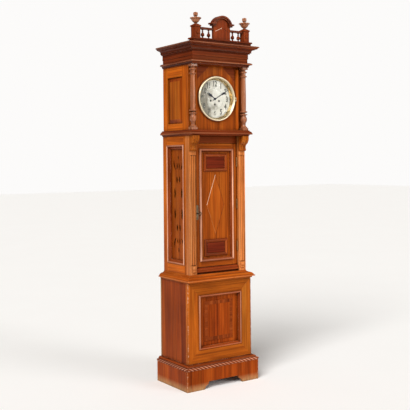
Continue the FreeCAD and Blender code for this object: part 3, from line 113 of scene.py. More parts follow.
class Graph:
    """Small helper that keeps a material's node wiring readable."""

    def __init__(self, name):
        self.material = bpy.data.materials.new(name)
        self.material.use_nodes = True
        self.tree = self.material.node_tree
        self.tree.nodes.clear()
        self.output = self.node("ShaderNodeOutputMaterial")
        self.shader = self.node("ShaderNodeBsdfPrincipled")
        self.link(self.shader.outputs["BSDF"], self.output.inputs["Surface"])
        self.coords = self.node("ShaderNodeTexCoord").outputs["Object"]

    def node(self, kind, **values):
        made = self.tree.nodes.new(kind)
        for key, value in values.items():
            setattr(made, key, value)
        return made

    def link(self, start, end):
        self.tree.links.new(start, end)

    def noise(self, vector, scale, detail=4.0, rough=0.55, distortion=0.0):
        made = self.node("ShaderNodeTexNoise")
        made.inputs["Scale"].default_value = scale
        made.inputs["Detail"].default_value = detail
        made.inputs["Roughness"].default_value = rough
        made.inputs["Distortion"].default_value = distortion
        self.link(vector, made.inputs["Vector"])
        return made.outputs["Fac"]

    def stretch(self, vector, scale):
        made = self.node("ShaderNodeMapping")
        made.inputs["Scale"].default_value = scale
        self.link(vector, made.inputs["Vector"])
        return made.outputs["Vector"]

    def ramp(self, factor, stops):
        made = self.node("ShaderNodeValToRGB")
        elements = made.color_ramp.elements
        while len(elements) < len(stops):
            elements.new(0.5)
        for element, (place, colour) in zip(elements, stops):
            element.position = place
            element.color = (*colour, 1.0) if len(colour) == 3 else colour
        self.link(factor, made.inputs["Fac"])
        return made.outputs["Color"]

    def grey_ramp(self, factor, stops):
        return self.ramp(factor, [(place, (value, value, value)) for place, value in stops])

    def mix(self, factor, first, second, blend="MIX"):
        made = self.node("ShaderNodeMix", data_type="RGBA", blend_type=blend)
        for socket, value in ((made.inputs[0], factor), (made.inputs[6], first), (made.inputs[7], second)):
            if isinstance(value, (int, float)):
                socket.default_value = value
            elif isinstance(value, tuple):
                socket.default_value = (*value, 1.0)
            else:
                self.link(value, socket)
        return made.outputs[2]

    def math(self, operation, first, second):
        made = self.node("ShaderNodeMath", operation=operation)
        for socket, value in zip(made.inputs, (first, second)):
            if isinstance(value, (int, float)):
                socket.default_value = value
            else:
                self.link(value, socket)
        return made.outputs[0]

    def bump(self, height, distance, strength=1.0, normal=None):
        made = self.node("ShaderNodeBump")
        made.inputs["Distance"].default_value = distance
        made.inputs["Strength"].default_value = strength
        self.link(height, made.inputs["Height"])
        if normal is not None:
            self.link(normal, made.inputs["Normal"])
        return made.outputs["Normal"]

    def base(self, colour):
        self.link(colour, self.shader.inputs["Base Color"])

    def set(self, **values):
        for key, value in values.items():
            self.shader.inputs[key.replace("_", " ")].default_value = value


CHIPPED = (0.78, 0.50, 0.34)
SCRAPED = (0.50, 0.31, 0.14)
GLOSS_TINT = (1.0, 0.46, 0.20, 1.0)


def wood(name, axis, dark, middle, light, figure=1.0, rough=(0.30, 0.46), wear=0.5, coat=0.015,
         foot=0.0, crest=0.0, edge_width=0.0016, bare=None, corner=None):
    """Polished wood whose grain runs along one axis of the frame (0 X, 1 Y, 2 Z).

    The edge setting lightens sharp edges in patches, partly as real rubbing of the polish and partly as
    painted highlight; foot lightens the last few centimetres above the floor;
    crest paints highlight on the high parts of a carved surface; edges and crests go towards a pale colour.
    corner, given as half width and front face, chips the polish along an upright corner. Ambient occlusion
    darkens hollows as painted shade.
    """
    g = Graph(name + "_" + "xyz"[axis])
    board = g.node("ShaderNodeAttribute", attribute_name="board").outputs["Fac"]
    spread = g.node("ShaderNodeCombineXYZ")
    for socket, factor in zip(spread.inputs, (3.1, 5.3, 2.7)):
        g.link(g.math("MULTIPLY", board, factor), socket)
    shifted = g.node("ShaderNodeVectorMath", operation="ADD")
    g.link(g.coords, shifted.inputs[0])
    g.link(spread.outputs[0], shifted.inputs[1])
    place = shifted.outputs[0]

    def along(long_scale, cross_scale):
        scale = [cross_scale] * 3
        scale[axis] = long_scale
        return g.stretch(place, scale)

    broad = g.noise(along(1.1 * figure, 11.0 * figure), 1.0, 5.0, 0.6, 1.1)
    bands = g.noise(along(0.9 * figure, 46.0 * figure), 1.0, 4.0, 0.62, 0.7)
    lines = g.noise(along(1.6, 150.0), 1.0, 3.0, 0.6, 0.4)
    streaks = g.noise(along(5.0, 520.0), 1.0, 3.0, 0.7)
    cloud = g.noise(place, 3.3, 2.0, 0.5)
    figure_mix = g.mix(0.45, broad, bands)
    colour = g.ramp(figure_mix, [(0.33, dark), (0.50, middle), (0.68, light)])
    tone = g.math("MULTIPLY_ADD", board, 0.34)
    tone.node.inputs[2].default_value = 0.83
    colour = g.mix(1.0, colour, tone, "MULTIPLY")
    colour = g.mix(1.0, colour, g.grey_ramp(cloud, [(0.3, 0.80), (0.7, 1.12)]), "MULTIPLY")
    colour = g.mix(1.0, colour, g.grey_ramp(lines, [(0.34, 0.62), (0.62, 1.14)]), "MULTIPLY")
    colour = g.mix(1.0, colour, g.grey_ramp(streaks, [(0.36, 0.66), (0.52, 1.0)]), "MULTIPLY")
    geometry = g.node("ShaderNodeNewGeometry")
    rounded = g.node("ShaderNodeBevel", samples=4)
    rounded.inputs["Radius"].default_value = edge_width
    sharp = g.node("ShaderNodeVectorMath", operation="DOT_PRODUCT")
    g.link(rounded.outputs["Normal"], sharp.inputs[0])
    g.link(geometry.outputs["Normal"], sharp.inputs[1])
    edge = g.grey_ramp(sharp.outputs["Value"], [(0.78, 1.0), (0.985, 0.0)])
    patches = g.grey_ramp(g.noise(place, 26.0, 4.0, 0.6), [(0.42, 0.0), (0.62, 1.0)])
    # Sharp edges lighten in patches towards a pale colour: partly real rubbing, partly painted highlight.
    # The same pale colour serves the crest highlight.
    worn = bare or tuple(min(1.0, c + extra) for c, extra in zip(light, (0.20, 0.15, 0.09)))
    colour = g.mix(g.math("MULTIPLY", g.math("MULTIPLY", edge, patches), wear), colour, worn)
    if foot:
        height = g.node("ShaderNodeSeparateXYZ")
        g.link(g.coords, height.inputs[0])
        low = g.grey_ramp(height.outputs[2], [(0.002, 1.0), (0.045, 0.0)])
        scuffs = g.grey_ramp(g.noise(along(14.0, 60.0), 1.0, 5.0, 0.65), [(0.25, 0.25), (0.75, 1.0)])
        scraped = g.math("MULTIPLY", g.math("MULTIPLY", low, scuffs), foot)
        colour = g.mix(scraped, colour, SCRAPED)
    if crest:
        # Painted highlight on the high parts of mouldings and carving, broken into patches.
        raised = g.node("ShaderNodeAttribute", attribute_name="crest").outputs["Fac"]
        highlight_patches = g.grey_ramp(g.noise(along(3.0, 30.0), 1.0, 3.0, 0.6), [(0.32, 0.25), (0.62, 1.0)])
        colour = g.mix(g.math("MULTIPLY", g.math("MULTIPLY", raised, highlight_patches), crest), colour, worn)
    if corner:
        half, front = corner
        parts = g.node("ShaderNodeSeparateXYZ")
        g.link(g.coords, parts.inputs[0])
        aside = g.node("ShaderNodeMath", operation="ABSOLUTE")
        g.link(parts.outputs[0], aside.inputs[0])
        outer = g.grey_ramp(g.math("ADD", aside.outputs[0], 0.5 - half), [(0.4955, 0.0), (0.4975, 1.0)])
        ahead = g.grey_ramp(g.math("ADD", parts.outputs[1], 0.5 - front), [(0.5025, 1.0), (0.5045, 0.0)])
        flakes = g.grey_ramp(g.noise(g.coords, 60.0, 4.0, 0.7), [(0.50, 0.0), (0.64, 0.85)])
        chipped = g.math("MULTIPLY", g.math("MULTIPLY", outer, ahead), flakes)
        colour = g.mix(chipped, colour, CHIPPED)
    # Ambient occlusion darkens hollows and crevices: painted shade.
    occlusion = g.node("ShaderNodeAmbientOcclusion", samples=4)
    occlusion.inputs["Distance"].default_value = 0.022
    crevice_shade = g.grey_ramp(occlusion.outputs["AO"], [(0.30, 0.34), (0.85, 1.0)])
    colour = g.mix(1.0, colour, crevice_shade, "MULTIPLY")
    g.base(colour)
    smudge = g.noise(place, 9.0, 4.0, 0.6)
    g.link(g.grey_ramp(smudge, [(0.3, rough[0]), (0.72, rough[1])]), g.shader.inputs["Roughness"])
    g.link(g.bump(g.mix(0.35, streaks, smudge), 0.00045, 0.35, rounded.outputs["Normal"]),
           g.shader.inputs["Normal"])
    g.set(Specular_IOR_Level=0.07, Specular_Tint=GLOSS_TINT, Coat_Weight=coat, Coat_Roughness=0.14)
    return g.material


def brass(name, tint=(0.80, 0.58, 0.24), tarnish=(0.36, 0.25, 0.10), rough=(0.14, 0.34), amount=0.6):
    g = Graph(name)
    cloud = g.noise(g.coords, 32.0, 6.0, 0.65)
    fine = g.noise(g.coords, 900.0, 2.0)
    g.base(g.mix(g.grey_ramp(cloud, [(0.45, 0.0), (0.75, amount)]), tint, tarnish))
    g.link(g.grey_ramp(cloud, [(0.3, rough[0]), (0.75, rough[1])]), g.shader.inputs["Roughness"])
    g.link(g.bump(fine, 0.00012, 0.3), g.shader.inputs["Normal"])
    g.set(Metallic=1.0)
    return g.material


def silvered_dial():
    """Matt silvered plate with fine circular brushing, slight spotting and a painted dark reflection over
    its left side.
    """
    g = Graph("silvered_dial")
    low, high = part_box("dial")
    centre = ((low.x + high.x) / 2, 0.0, (low.z + high.z) / 2)
    local = g.node("ShaderNodeVectorMath", operation="SUBTRACT")
    g.link(g.coords, local.inputs[0])
    local.inputs[1].default_value = centre
    length = g.node("ShaderNodeVectorMath", operation="LENGTH")
    flat = g.stretch(local.outputs[0], (1.0, 0.0, 1.0))
    g.link(flat, length.inputs[0])
    rings = g.node("ShaderNodeCombineXYZ")
    g.link(length.outputs["Value"], rings.inputs[0])
    brushing = g.noise(rings.outputs[0], 1800.0, 2.0)
    cloud = g.noise(g.coords, 22.0, 5.0, 0.6)
    spots = g.grey_ramp(g.noise(g.coords, 170.0, 3.0, 0.6), [(0.66, 0.0), (0.74, 1.0)])
    silver = g.mix(g.grey_ramp(cloud, [(0.35, 0.0), (0.75, 1.0)]), (0.64, 0.62, 0.57), (0.47, 0.44, 0.37))
    sides = g.node("ShaderNodeSeparateXYZ")
    g.link(local.outputs[0], sides.inputs[0])
    # The tarnish mask darkens the left of the dial, with a noisy edge: painted dark reflection.
    reflection_sweep = g.math("MULTIPLY_ADD", g.noise(g.coords, 21.0, 4.0, 0.55), 0.26)
    g.link(sides.outputs[0], reflection_sweep.node.inputs[2])
    tarnish = g.grey_ramp(reflection_sweep, [(0.078, 1.0), (0.140, 0.0)])
    silver = g.mix(g.math("MULTIPLY", tarnish, 0.86), silver, (0.15, 0.13, 0.095))
    g.base(g.mix(g.math("MULTIPLY", spots, 0.35), silver, (0.36, 0.33, 0.26)))
    g.link(g.grey_ramp(brushing, [(0.3, 0.36), (0.7, 0.50)]), g.shader.inputs["Roughness"])
    g.link(g.bump(brushing, 0.00008, 0.35), g.shader.inputs["Normal"])
    g.set(Metallic=0.55)
    return g.material


def metal(name, tone, rough, metallic=1.0):
    g = Graph(name)
    cloud = g.noise(g.coords, 60.0, 5.0, 0.6)
    darker = tuple(c * 0.55 for c in tone)
    g.base(g.mix(g.grey_ramp(cloud, [(0.4, 0.0), (0.75, 0.7)]), tone, darker))
    g.link(g.grey_ramp(cloud, [(0.3, rough), (0.75, rough + 0.18)]), g.shader.inputs["Roughness"])
    g.link(g.bump(g.noise(g.coords, 700.0, 2.0), 0.0001, 0.3), g.shader.inputs["Normal"])
    g.set(Metallic=metallic)
    return g.material


def clear_glass():
    """Thin old glass with faint waviness."""
    g = Graph("clear_glass")
    wave = g.noise(g.coords, 14.0, 2.0)
    g.link(g.bump(wave, 0.0006, 0.25), g.shader.inputs["Normal"])
    haze = g.grey_ramp(g.noise(g.coords, 40.0, 4.0), [(0.4, 0.01), (0.8, 0.05)])
    g.link(haze, g.shader.inputs["Roughness"])
    g.set(Transmission_Weight=1.0, IOR=1.03, Specular_IOR_Level=0.5)
    g.shader.inputs["Base Color"].default_value = (0.97, 0.985, 0.98, 1.0)
    return g.material


def dial_ink():
    g = Graph("dial_ink")
    worn = g.noise(g.coords, 300.0, 4.0, 0.6)
    g.base(g.ramp(worn, [(0.4, (0.035, 0.032, 0.03)), (0.72, (0.13, 0.12, 0.10))]))
    g.link(g.grey_ramp(worn, [(0.3, 0.35), (0.7, 0.6)]), g.shader.inputs["Roughness"])
    return g.material


def boxwood():
    """Pale stringing wood, browned by polish; laid on the lit strips, where its paleness is painted
    highlight.
    """
    g = Graph("boxwood")
    streaks = g.noise(g.stretch(g.coords, (220.0, 220.0, 12.0)), 1.0, 3.0, 0.6)
    g.base(g.ramp(streaks, [(0.3, (0.55, 0.27, 0.13)), (0.65, (0.86, 0.58, 0.40))]))
    g.link(g.grey_ramp(streaks, [(0.3, 0.25), (0.7, 0.4)]), g.shader.inputs["Roughness"])
    g.set(Specular_IOR_Level=0.4, Coat_Weight=0.3, Coat_Roughness=0.15)
    return g.material


def floor_paint():
    g = Graph("floor_paint")
    cloud = g.noise(g.coords, 1.5, 3.0)
    g.base(g.ramp(cloud, [(0.3, (0.97, 0.98, 0.99)), (0.7, (0.98, 0.99, 1.0))]))
    g.set(Roughness=0.9)
    return g.material


# These walnut tones are partly lit and shaded copies of one wood: REED and TURNED are lighter and pinker as
# painted highlight on the pilaster reeds, columns and finials; UMBER and DUSKY are darker, partly as the
# wood's own tone and partly as painted shade on the frieze, waist, cornice and other overhung parts.
ORANGE = dict(dark=(0.21, 0.038, 0.004), middle=(0.41, 0.092, 0.007), light=(0.57, 0.17, 0.018))
AMBER = dict(dark=(0.26, 0.046, 0.004), middle=(0.50, 0.105, 0.006), light=(0.68, 0.19, 0.014))
REED = dict(dark=(0.36, 0.085, 0.015), middle=(0.62, 0.19, 0.045), light=(0.82, 0.36, 0.14))
HONEY = dict(dark=(0.18, 0.030, 0.004), middle=(0.37, 0.072, 0.006), light=(0.53, 0.135, 0.014))
RUSSET = dict(dark=(0.14, 0.018, 0.003), middle=(0.29, 0.045, 0.004), light=(0.43, 0.09, 0.010))
BROWN = dict(dark=(0.12, 0.018, 0.004), middle=(0.25, 0.043, 0.007), light=(0.40, 0.090, 0.018))
UMBER = dict(dark=(0.11, 0.014, 0.004), middle=(0.21, 0.032, 0.006), light=(0.32, 0.066, 0.013))
TURNED = dict(dark=(0.20, 0.055, 0.020), middle=(0.40, 0.135, 0.055), light=(0.60, 0.27, 0.14))
DUSKY = dict(dark=(0.060, 0.009, 0.003), middle=(0.135, 0.021, 0.005), light=(0.24, 0.048, 0.011))
MAHOGANY = dict(dark=(0.055, 0.007, 0.003), middle=(0.125, 0.013, 0.004), light=(0.20, 0.026, 0.007))
DEAL = dict(dark=(0.22, 0.095, 0.032), middle=(0.36, 0.175, 0.065), light=(0.46, 0.25, 0.10))
# Pale pink for the worn edges of the mouldings and rope, and for the painted highlight on their crests.
RUBBED_AND_HIGHLIGHT = (0.78, 0.40, 0.26)


def wood_set(name, tones, **options):
    """The same wood with its grain along X, along Y and along Z."""
    return [wood(name, axis, **tones, **options) for axis in range(3)]


BASE_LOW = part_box("base_front_frame")[0]
BASE_CORNER = (-BASE_LOW.x, BASE_LOW.y)
PLINTH_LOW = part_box("plinth_boards")[0]
PLINTH_CORNER = (-PLINTH_LOW.x, PLINTH_LOW.y)

WOODS = {
    "frame": wood_set("walnut_frame", ORANGE, wear=0.8),
    "base_frame": wood_set("walnut_base_frame", ORANGE, wear=0.9, edge_width=0.004, corner=BASE_CORNER),
    "base_side": wood_set("walnut_base_side", RUSSET, figure=0.8, wear=0.9, edge_width=0.004,
                          corner=BASE_CORNER),
    "side": wood_set("walnut_side", AMBER, wear=0.7),
    "honey": wood_set("walnut_honey", HONEY, wear=0.8, crest=0.5),
    "reed": wood_set("walnut_reeded", REED, coat=0.12, rough=(0.24, 0.36)),
    "panel": wood_set("walnut_panel", RUSSET, figure=0.8, wear=0.5),
    "inlay": wood_set("walnut_inlay", BROWN, wear=0.0),
    "plinth": wood_set("walnut_plinth", RUSSET, figure=0.8, wear=1.0, foot=0.9, edge_width=0.004,
                       corner=PLINTH_CORNER),
    "moulding": wood_set("walnut_moulding", BROWN, wear=1.0, coat=0.08, rough=(0.22, 0.36), crest=0.9,
                         bare=RUBBED_AND_HIGHLIGHT),
    "rope": wood_set("walnut_rope", UMBER, wear=0.3, crest=0.9, bare=RUBBED_AND_HIGHLIGHT),
    "turned": wood_set("walnut_turned", TURNED, wear=0.8, coat=0.6, rough=(0.20, 0.32)),
    "dark": wood_set("mahogany_plaque", MAHOGANY, wear=0.3, coat=0.04),
    "frieze": wood_set("walnut_frieze", UMBER, figure=0.8, crest=0.5),
    "cornice": wood_set("walnut_cornice", DUSKY, wear=1.0, coat=0.06, rough=(0.22, 0.38), crest=0.5),
    "plain": wood_set("plain_deal", DEAL, wear=0.1, coat=0.0, rough=(0.6, 0.8)),
}
BRASS = brass("old_brass")
POLISHED_BRASS = brass("polished_brass", tint=(0.80, 0.62, 0.34), tarnish=(0.40, 0.28, 0.12), amount=0.6)
BEZEL_BRASS = brass("bezel_brass", tint=(0.76, 0.66, 0.46), tarnish=(0.46, 0.36, 0.20), rough=(0.34, 0.42),
                    amount=0.4)
HINGE_BRASS = brass("hinge_brass", tint=(0.36, 0.19, 0.08), tarnish=(0.20, 0.10, 0.04), rough=(0.35, 0.5))
STEEL = metal("grey_steel", (0.55, 0.54, 0.52), 0.3)
BLUED = metal("blued_steel", (0.030, 0.030, 0.038), 0.28, metallic=0.8)
BRONZE = metal("dark_bronze", (0.13, 0.095, 0.06), 0.40)
SILVER = silvered_dial()
GLASS = clear_glass()
INK = dial_ink()
BOXWOOD_HIGHLIGHT = boxwood()

NODE_WOOD = {
    "plinth_boards": "plinth", "plinth_moulding": "moulding",
    "base_front_frame": "base_frame", "base_sides": "base_side",
    "base_panel_moulding": "moulding", "base_panel": "panel", "base_cap_moulding": "honey",
    "case_floors": "frieze", "back_boards": "plain", "trunk_side_frames": "side",
    "trunk_side_mouldings": "moulding", "fret_panels": "honey", "pilasters": "reed", "corbels": "frame",
    "trunk_front_rails": "frieze", "waist_moulding": "frieze", "hood_side_frames": "side",
    "hood_side_panels": "frame", "hood_front": "honey", "hood_columns": "turned",
    "architrave_moulding": "cornice", "frieze_boards": "frieze", "cornice": "cornice",
    "gallery_base": "frieze",
    "gallery_posts": "frieze", "gallery_balustrade": "cornice", "finials": "turned",
    "pediment_board": "frieze",
    "pediment_arch": "cornice", "door_frame": "honey", "door_moulding": "moulding", "door_panel": "honey",
    "door_plaques": "dark", "pendulum_rod": "panel",
}
UPRIGHT_GRAIN = {"hood_front", "base_panel", "base_sides", "fret_panels", "gallery_posts", "pediment_board",
                 "plinth_boards"}
NODE_METAL = {
    "dial": SILVER, "dial_surround": POLISHED_BRASS, "movement_plates": BRASS, "gong_rods": STEEL,
    "cable_leads": STEEL, "trunk_hinges_fixed": HINGE_BRASS, "door_lock": BRONZE,
    "trunk_hinges_moving": HINGE_BRASS,
    "lock_bolt": STEEL, "door_key": BRONZE, "bezel_ring": BEZEL_BRASS, "bezel_glass": GLASS,
    "minute_hand": BLUED, "hour_hand": BLUED, "minute_wheel": BRASS, "anchor": STEEL, "pendulum_bob": BRASS,
}
SIDES = ("left", "centre", "right")
for side in SIDES:
    NODE_METAL["barrel_" + side] = BRASS
    NODE_METAL["weight_" + side] = POLISHED_BRASS
    NODE_METAL["cable_" + side] = STEEL


def dress_wood(node, kind):
    """Give every board of a node its own tone, and grain along its length."""
    mesh = NODES[node].data
    mesh.materials.clear()
    for material in WOODS[kind]:
        mesh.materials.append(material)
    tones = mesh.attributes.new("board", "FLOAT", "POINT")
    for group in solids_of(mesh):
        axis = 2 if node in UPRIGHT_GRAIN else longest_axis(mesh, group)
        tone = random.random()
        for number in group:
            mesh.polygons[number].material_index = axis
            for index in mesh.polygons[number].vertices:
                tones.data[index].value = tone


def mark_crests(node, reach, strength):
    """Mark the faces of a moulding within a reach of its outermost ones for painted highlight, upright
    members most, where the light catches.
    """
    mesh = NODES[node].data
    low = min(vertex.co.y for vertex in mesh.vertices)
    side = max(abs(vertex.co.x) for vertex in mesh.vertices)
    values = mesh.attributes.new("crest", "FLOAT", "POINT")
    for group in solids_of(mesh):
        lying = node in FRAMED and longest_axis(mesh, group) != 2
        share = strength * LYING_SHARE if lying else strength
        for number in group:
            for index in mesh.polygons[number].vertices:
                co = mesh.vertices[index].co
                gap = side - abs(co.x)
                if node not in SIDE_FACING:
                    gap = min(gap, co.y - low)
                values.data[index].value = share if gap < reach else 0.0


def dress_metal(node, material):
    mesh = NODES[node].data
    mesh.materials.clear()
    mesh.materials.append(material)


for node, kind in NODE_WOOD.items():
    dress_wood(node, kind)
for node, material in NODE_METAL.items():
    dress_metal(node, material)

def redden_bevels(node, kind):
    """Give the sloping faces of raised panels a darker, redder wood than their fields: painted shade on the
    bevels.
    """
    mesh = NODES[node].data
    first = len(mesh.materials)
    for material in WOODS[kind]:
        mesh.materials.append(material)
    for polygon in mesh.polygons:
        if 0.3 < abs(polygon.normal.x) < 0.99:
            polygon.material_index = first + polygon.material_index


def darken_arbors():
    """Blue the squared ends of the winding arbors, which stand in front of the plates."""
    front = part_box("dial")[1].y
    for side in SIDES:
        mesh = NODES["barrel_" + side].data
        mesh.materials.append(BLUED)
        for polygon in mesh.polygons:
            if polygon.center.y < front:
                polygon.material_index = 1


SIDE_FACING = {"trunk_side_mouldings"}
LYING_SHARE = 0.35  # how much painted highlight the lying members of a frame get beside its uprights
FRAMED = {"trunk_side_mouldings", "door_moulding", "base_panel_moulding"}
HAIR = 0.0006  # reach that takes in only the outermost edge of a moulding
# Reach and strength of the painted highlight on the outermost faces of each moulding.
CRESTS = {
    "trunk_side_mouldings": (0.0035, 1.0), "door_moulding": (0.0035, 1.0),
    "base_panel_moulding": (0.003, 0.5),
    "base_cap_moulding": (HAIR, 0.45), "waist_moulding": (HAIR, 0.5), "cornice": (HAIR, 0.6),
    "architrave_moulding": (HAIR, 0.9),
}
for node, (reach, strength) in CRESTS.items():
    mark_crests(node, reach, strength)
redden_bevels("hood_side_panels", "panel")
darken_arbors()

# ------------------------------------------------------------- dial details
DIAL_LOW, DIAL_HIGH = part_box("dial")
DIAL_CENTRE = Vector(((DIAL_LOW.x + DIAL_HIGH.x) / 2, DIAL_LOW.y, (DIAL_LOW.z + DIAL_HIGH.z) / 2))
DIAL_RADIUS = 0.1185
TRACK_OUTER = DIAL_RADIUS - 0.0015
TRACK_INNER = DIAL_RADIUS - 0.0072
NUMERAL_RADIUS = 0.0935
NUMERAL_HEIGHT = 0.0345
FONT_SIZE_SHARE = 1.38  # font size over the height of its figures
NUMERAL_SQUEEZE = 0.74
NUMERAL_BOLDNESS = 0.0014
LAYER = 0.0003
RIGHT = Vector((1, 0, 0))
BACK = Vector((0, 1, 0))


def on_dial(radius, angle, lift=LAYER):
    """Point on the dial at a clockwise angle from twelve o'clock."""
    across = radius * math.sin(angle)
    up = radius * math.cos(angle)
    return (DIAL_CENTRE.x + across, DIAL_CENTRE.y - lift, DIAL_CENTRE.z + up)


def ring_strip(vertices, faces, inner, outer, centre=(0.0, 0.0), steps=120, lift=LAYER):
    """Flat ring on the dial about a point given across and up from the dial centre."""
    start = len(vertices)
    for step in range(steps):
        angle = 2 * math.pi * step / steps
        for radius in (inner, outer):
            x, y, z = on_dial(radius, angle, lift)
            vertices.append((x + centre[0], y, z + centre[1]))
    for step in range(steps):
        a = start + 2 * step
        b = start + 2 * ((step + 1) % steps)
        faces.append((a, b, b + 1, a + 1))


def minute_track():
    """Two fine rings with a bar at every minute, heavier at every fifth."""
    line = 0.0005
    vertices = []
    faces = []
    ring_strip(vertices, faces, TRACK_OUTER - line, TRACK_OUTER)
    ring_strip(vertices, faces, TRACK_INNER, TRACK_INNER + line)
    for minute in range(60):
        half = 0.0013 if minute % 5 == 0 else 0.0005
        angle = 2 * math.pi * minute / 60
        start = len(vertices)
        for radius in (TRACK_INNER, TRACK_OUTER):
            for side in (-1, 1):
                vertices.append(on_dial(radius, angle + side * half / radius))
        faces.append((start, start + 1, start + 3, start + 2))
    mesh_piece("minute_track", vertices, faces, INK)


def dial_rings():
    """Engraved rings round the centre and dark eyelets round the winding holes."""
    vertices = []
    faces = []
    for radius in (0.064, 0.0655):
        ring_strip(vertices, faces, radius, radius + 0.0004)
    mesh_piece("engraved_rings", vertices, faces, INK)
    vertices = []
    faces = []
    for side in SIDES:
        low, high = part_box("barrel_" + side)
        across = (low.x + high.x) / 2 - DIAL_CENTRE.x
        up = (low.z + high.z) / 2 - DIAL_CENTRE.z
        ring_strip(vertices, faces, 0.0031, 0.0068, (across, up), 32)
    mesh_piece("winding_eyelets", vertices, faces, INK)


def numerals():
    """Upright Arabic numerals round the dial, tall and bold."""
    for hour in range(1, 13):
        curve = bpy.data.curves.new("numeral_%02d" % hour, "FONT")
        curve.body = str(hour)
        curve.size = NUMERAL_HEIGHT * FONT_SIZE_SHARE
        curve.extrude = 0.00012
        curve.offset = NUMERAL_BOLDNESS
        curve.align_x = "CENTER"
        curve.align_y = "CENTER"
        text = bpy.data.objects.new(curve.name, curve)
        bpy.context.scene.collection.objects.link(text)
        text.rotation_euler = (math.pi / 2, 0, 0)
        text.scale = (NUMERAL_SQUEEZE, 1.0, 1.0)
        text.location = on_dial(NUMERAL_RADIUS, 2 * math.pi * hour / 12)
        bpy.context.view_layer.update()
        mesh = bpy.data.meshes.new_from_object(text.evaluated_get(bpy.context.evaluated_depsgraph_get()))
        mesh.transform(text.matrix_world)
        bpy.data.objects.remove(text)
        piece = bpy.data.objects.new("numeral_%02d" % hour, mesh)
        bpy.context.scene.collection.objects.link(piece)
        mesh.materials.clear()
        mesh.materials.append(INK)
        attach(piece, "case")


minute_track()
dial_rings()
numerals()

# ------------------------------------------------- veneers and carved bead


def veneer(name, outline, face_y, thickness, material, body="case", tone=0.4):
    """Thin slip of wood glued on an upright face; the outline is (x, z)."""
    count = len(outline)
    vertices = [(x, face_y, z) for x, z in outline] + [(x, face_y - thickness, z) for x, z in outline]
    faces = [tuple(range(count, 2 * count)), tuple(reversed(range(count)))]
    for index in range(count):
        after = (index + 1) % count
        faces.append((index, after, count + after, count + index))
    piece = mesh_piece(name, vertices, faces, material, body)
    shape = bmesh.new()
    shape.from_mesh(piece.data)
    bmesh.ops.recalc_face_normals(shape, faces=shape.faces)
    shape.to_mesh(piece.data)
    shape.free()
    values = piece.data.attributes.new("board", "FLOAT", "POINT")
    for item in values.data:
        item.value = tone
    return piece


def banding():
    """Cross-grained band, mitred at the corners, round the field of the base panel."""
    low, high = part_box("base_panel")
    middle_z = (low.z + high.z) / 2
    half_x = 0.105
    half_z = 0.121
    width = 0.021
    inner_x = half_x - width
    inner_z = half_z - width
    face = low.y
    for side in (1, -1):
        top = [(-half_x, side * half_z), (half_x, side * half_z),
               (inner_x, side * inner_z), (-inner_x, side * inner_z)]
        end = [(side * half_x, -half_z), (side * half_x, half_z),
               (side * inner_x, inner_z), (side * inner_x, -inner_z)]
        word = "upper" if side == 1 else "lower"
        veneer("banding_" + word, [(x, z + middle_z) for x, z in top], face, 0.0005, WOODS["inlay"][2])
        word = "right" if side == 1 else "left"
        veneer("banding_" + word, [(x, z + middle_z) for x, z in end], face, 0.0005, WOODS["inlay"][0])


def lozenge():
    """Stringing round the lozenge of the trunk door, with a brighter veneer inside it; the left strips are
    paler, the upper one palest, as painted highlight.
    """
    low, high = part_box("door_panel")
    middle_z = (low.z + high.z) / 2
    half_x = 0.067
    half_z = 0.187
    inner_x = half_x - 0.0024
    inner_z = half_z - 0.0067
    face = low.y
    inside = [(0, -inner_z), (inner_x, 0), (0, inner_z), (-inner_x, 0)]
    outline = [(x, z + middle_z) for x, z in inside]
    veneer("lozenge_veneer", outline, face, 0.0004, WOODS["honey"][2], "trunk_door", tone=0.55)
    for side in (-1, 1):
        for up in (1, -1):
            # Pale wood on the upper left, lighter wood on the lower left and the darker inlay on the right:
            # painted highlight on the left strips.
            material = WOODS["inlay"][2]
            if side == -1:
                material = BOXWOOD_HIGHLIGHT if up == 1 else WOODS["reed"][2]
            strip = [(0, up * half_z), (side * half_x, 0), (side * inner_x, 0), (0, up * inner_z)]
            name = "stringing_" + ("left" if side == -1 else "right") + ("_upper" if up == 1 else "_lower")
            veneer(name, [(x, z + middle_z) for x, z in strip], face, 0.0006, material, "trunk_door")


def spandrels():
    """Dark slips in the upper corners of the dial board."""
    low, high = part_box("hood_front")
    face = high.y - 0.020
    top = high.z - DIAL_CENTRE.z - 0.004
    for side in (1, -1):
        edge = 0.146
        curve = [(0.132, 0.124), (0.112, 0.146), (0.088, 0.164)]
        outline = [(edge, top), (edge, 0.105)] + curve + [(0.052, top)]
        placed = [(side * x, z + DIAL_CENTRE.z) for x, z in outline]
        veneer("spandrel_" + ("right" if side == 1 else "left"), placed, face, 0.0005, WOODS["frieze"][0])


def chevron():
    """Pale slip along the rising half of the chevron on the pediment board: painted highlight where that
    half catches the light.
    """
    low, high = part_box("pediment_board")
    centre = high.z - 0.055
    reach = 0.050
    fall = 0.024
    width = 0.0025
    top = centre + 0.0005
    strip = [(-reach, top - width - fall), (0.0, top - width), (0.0, top), (-reach, top - fall)]
    veneer("chevron_line", strip, low.y, 0.0005, BOXWOOD_HIGHLIGHT)


LEAN = 3.0  # radians of the pattern per radian round the bead


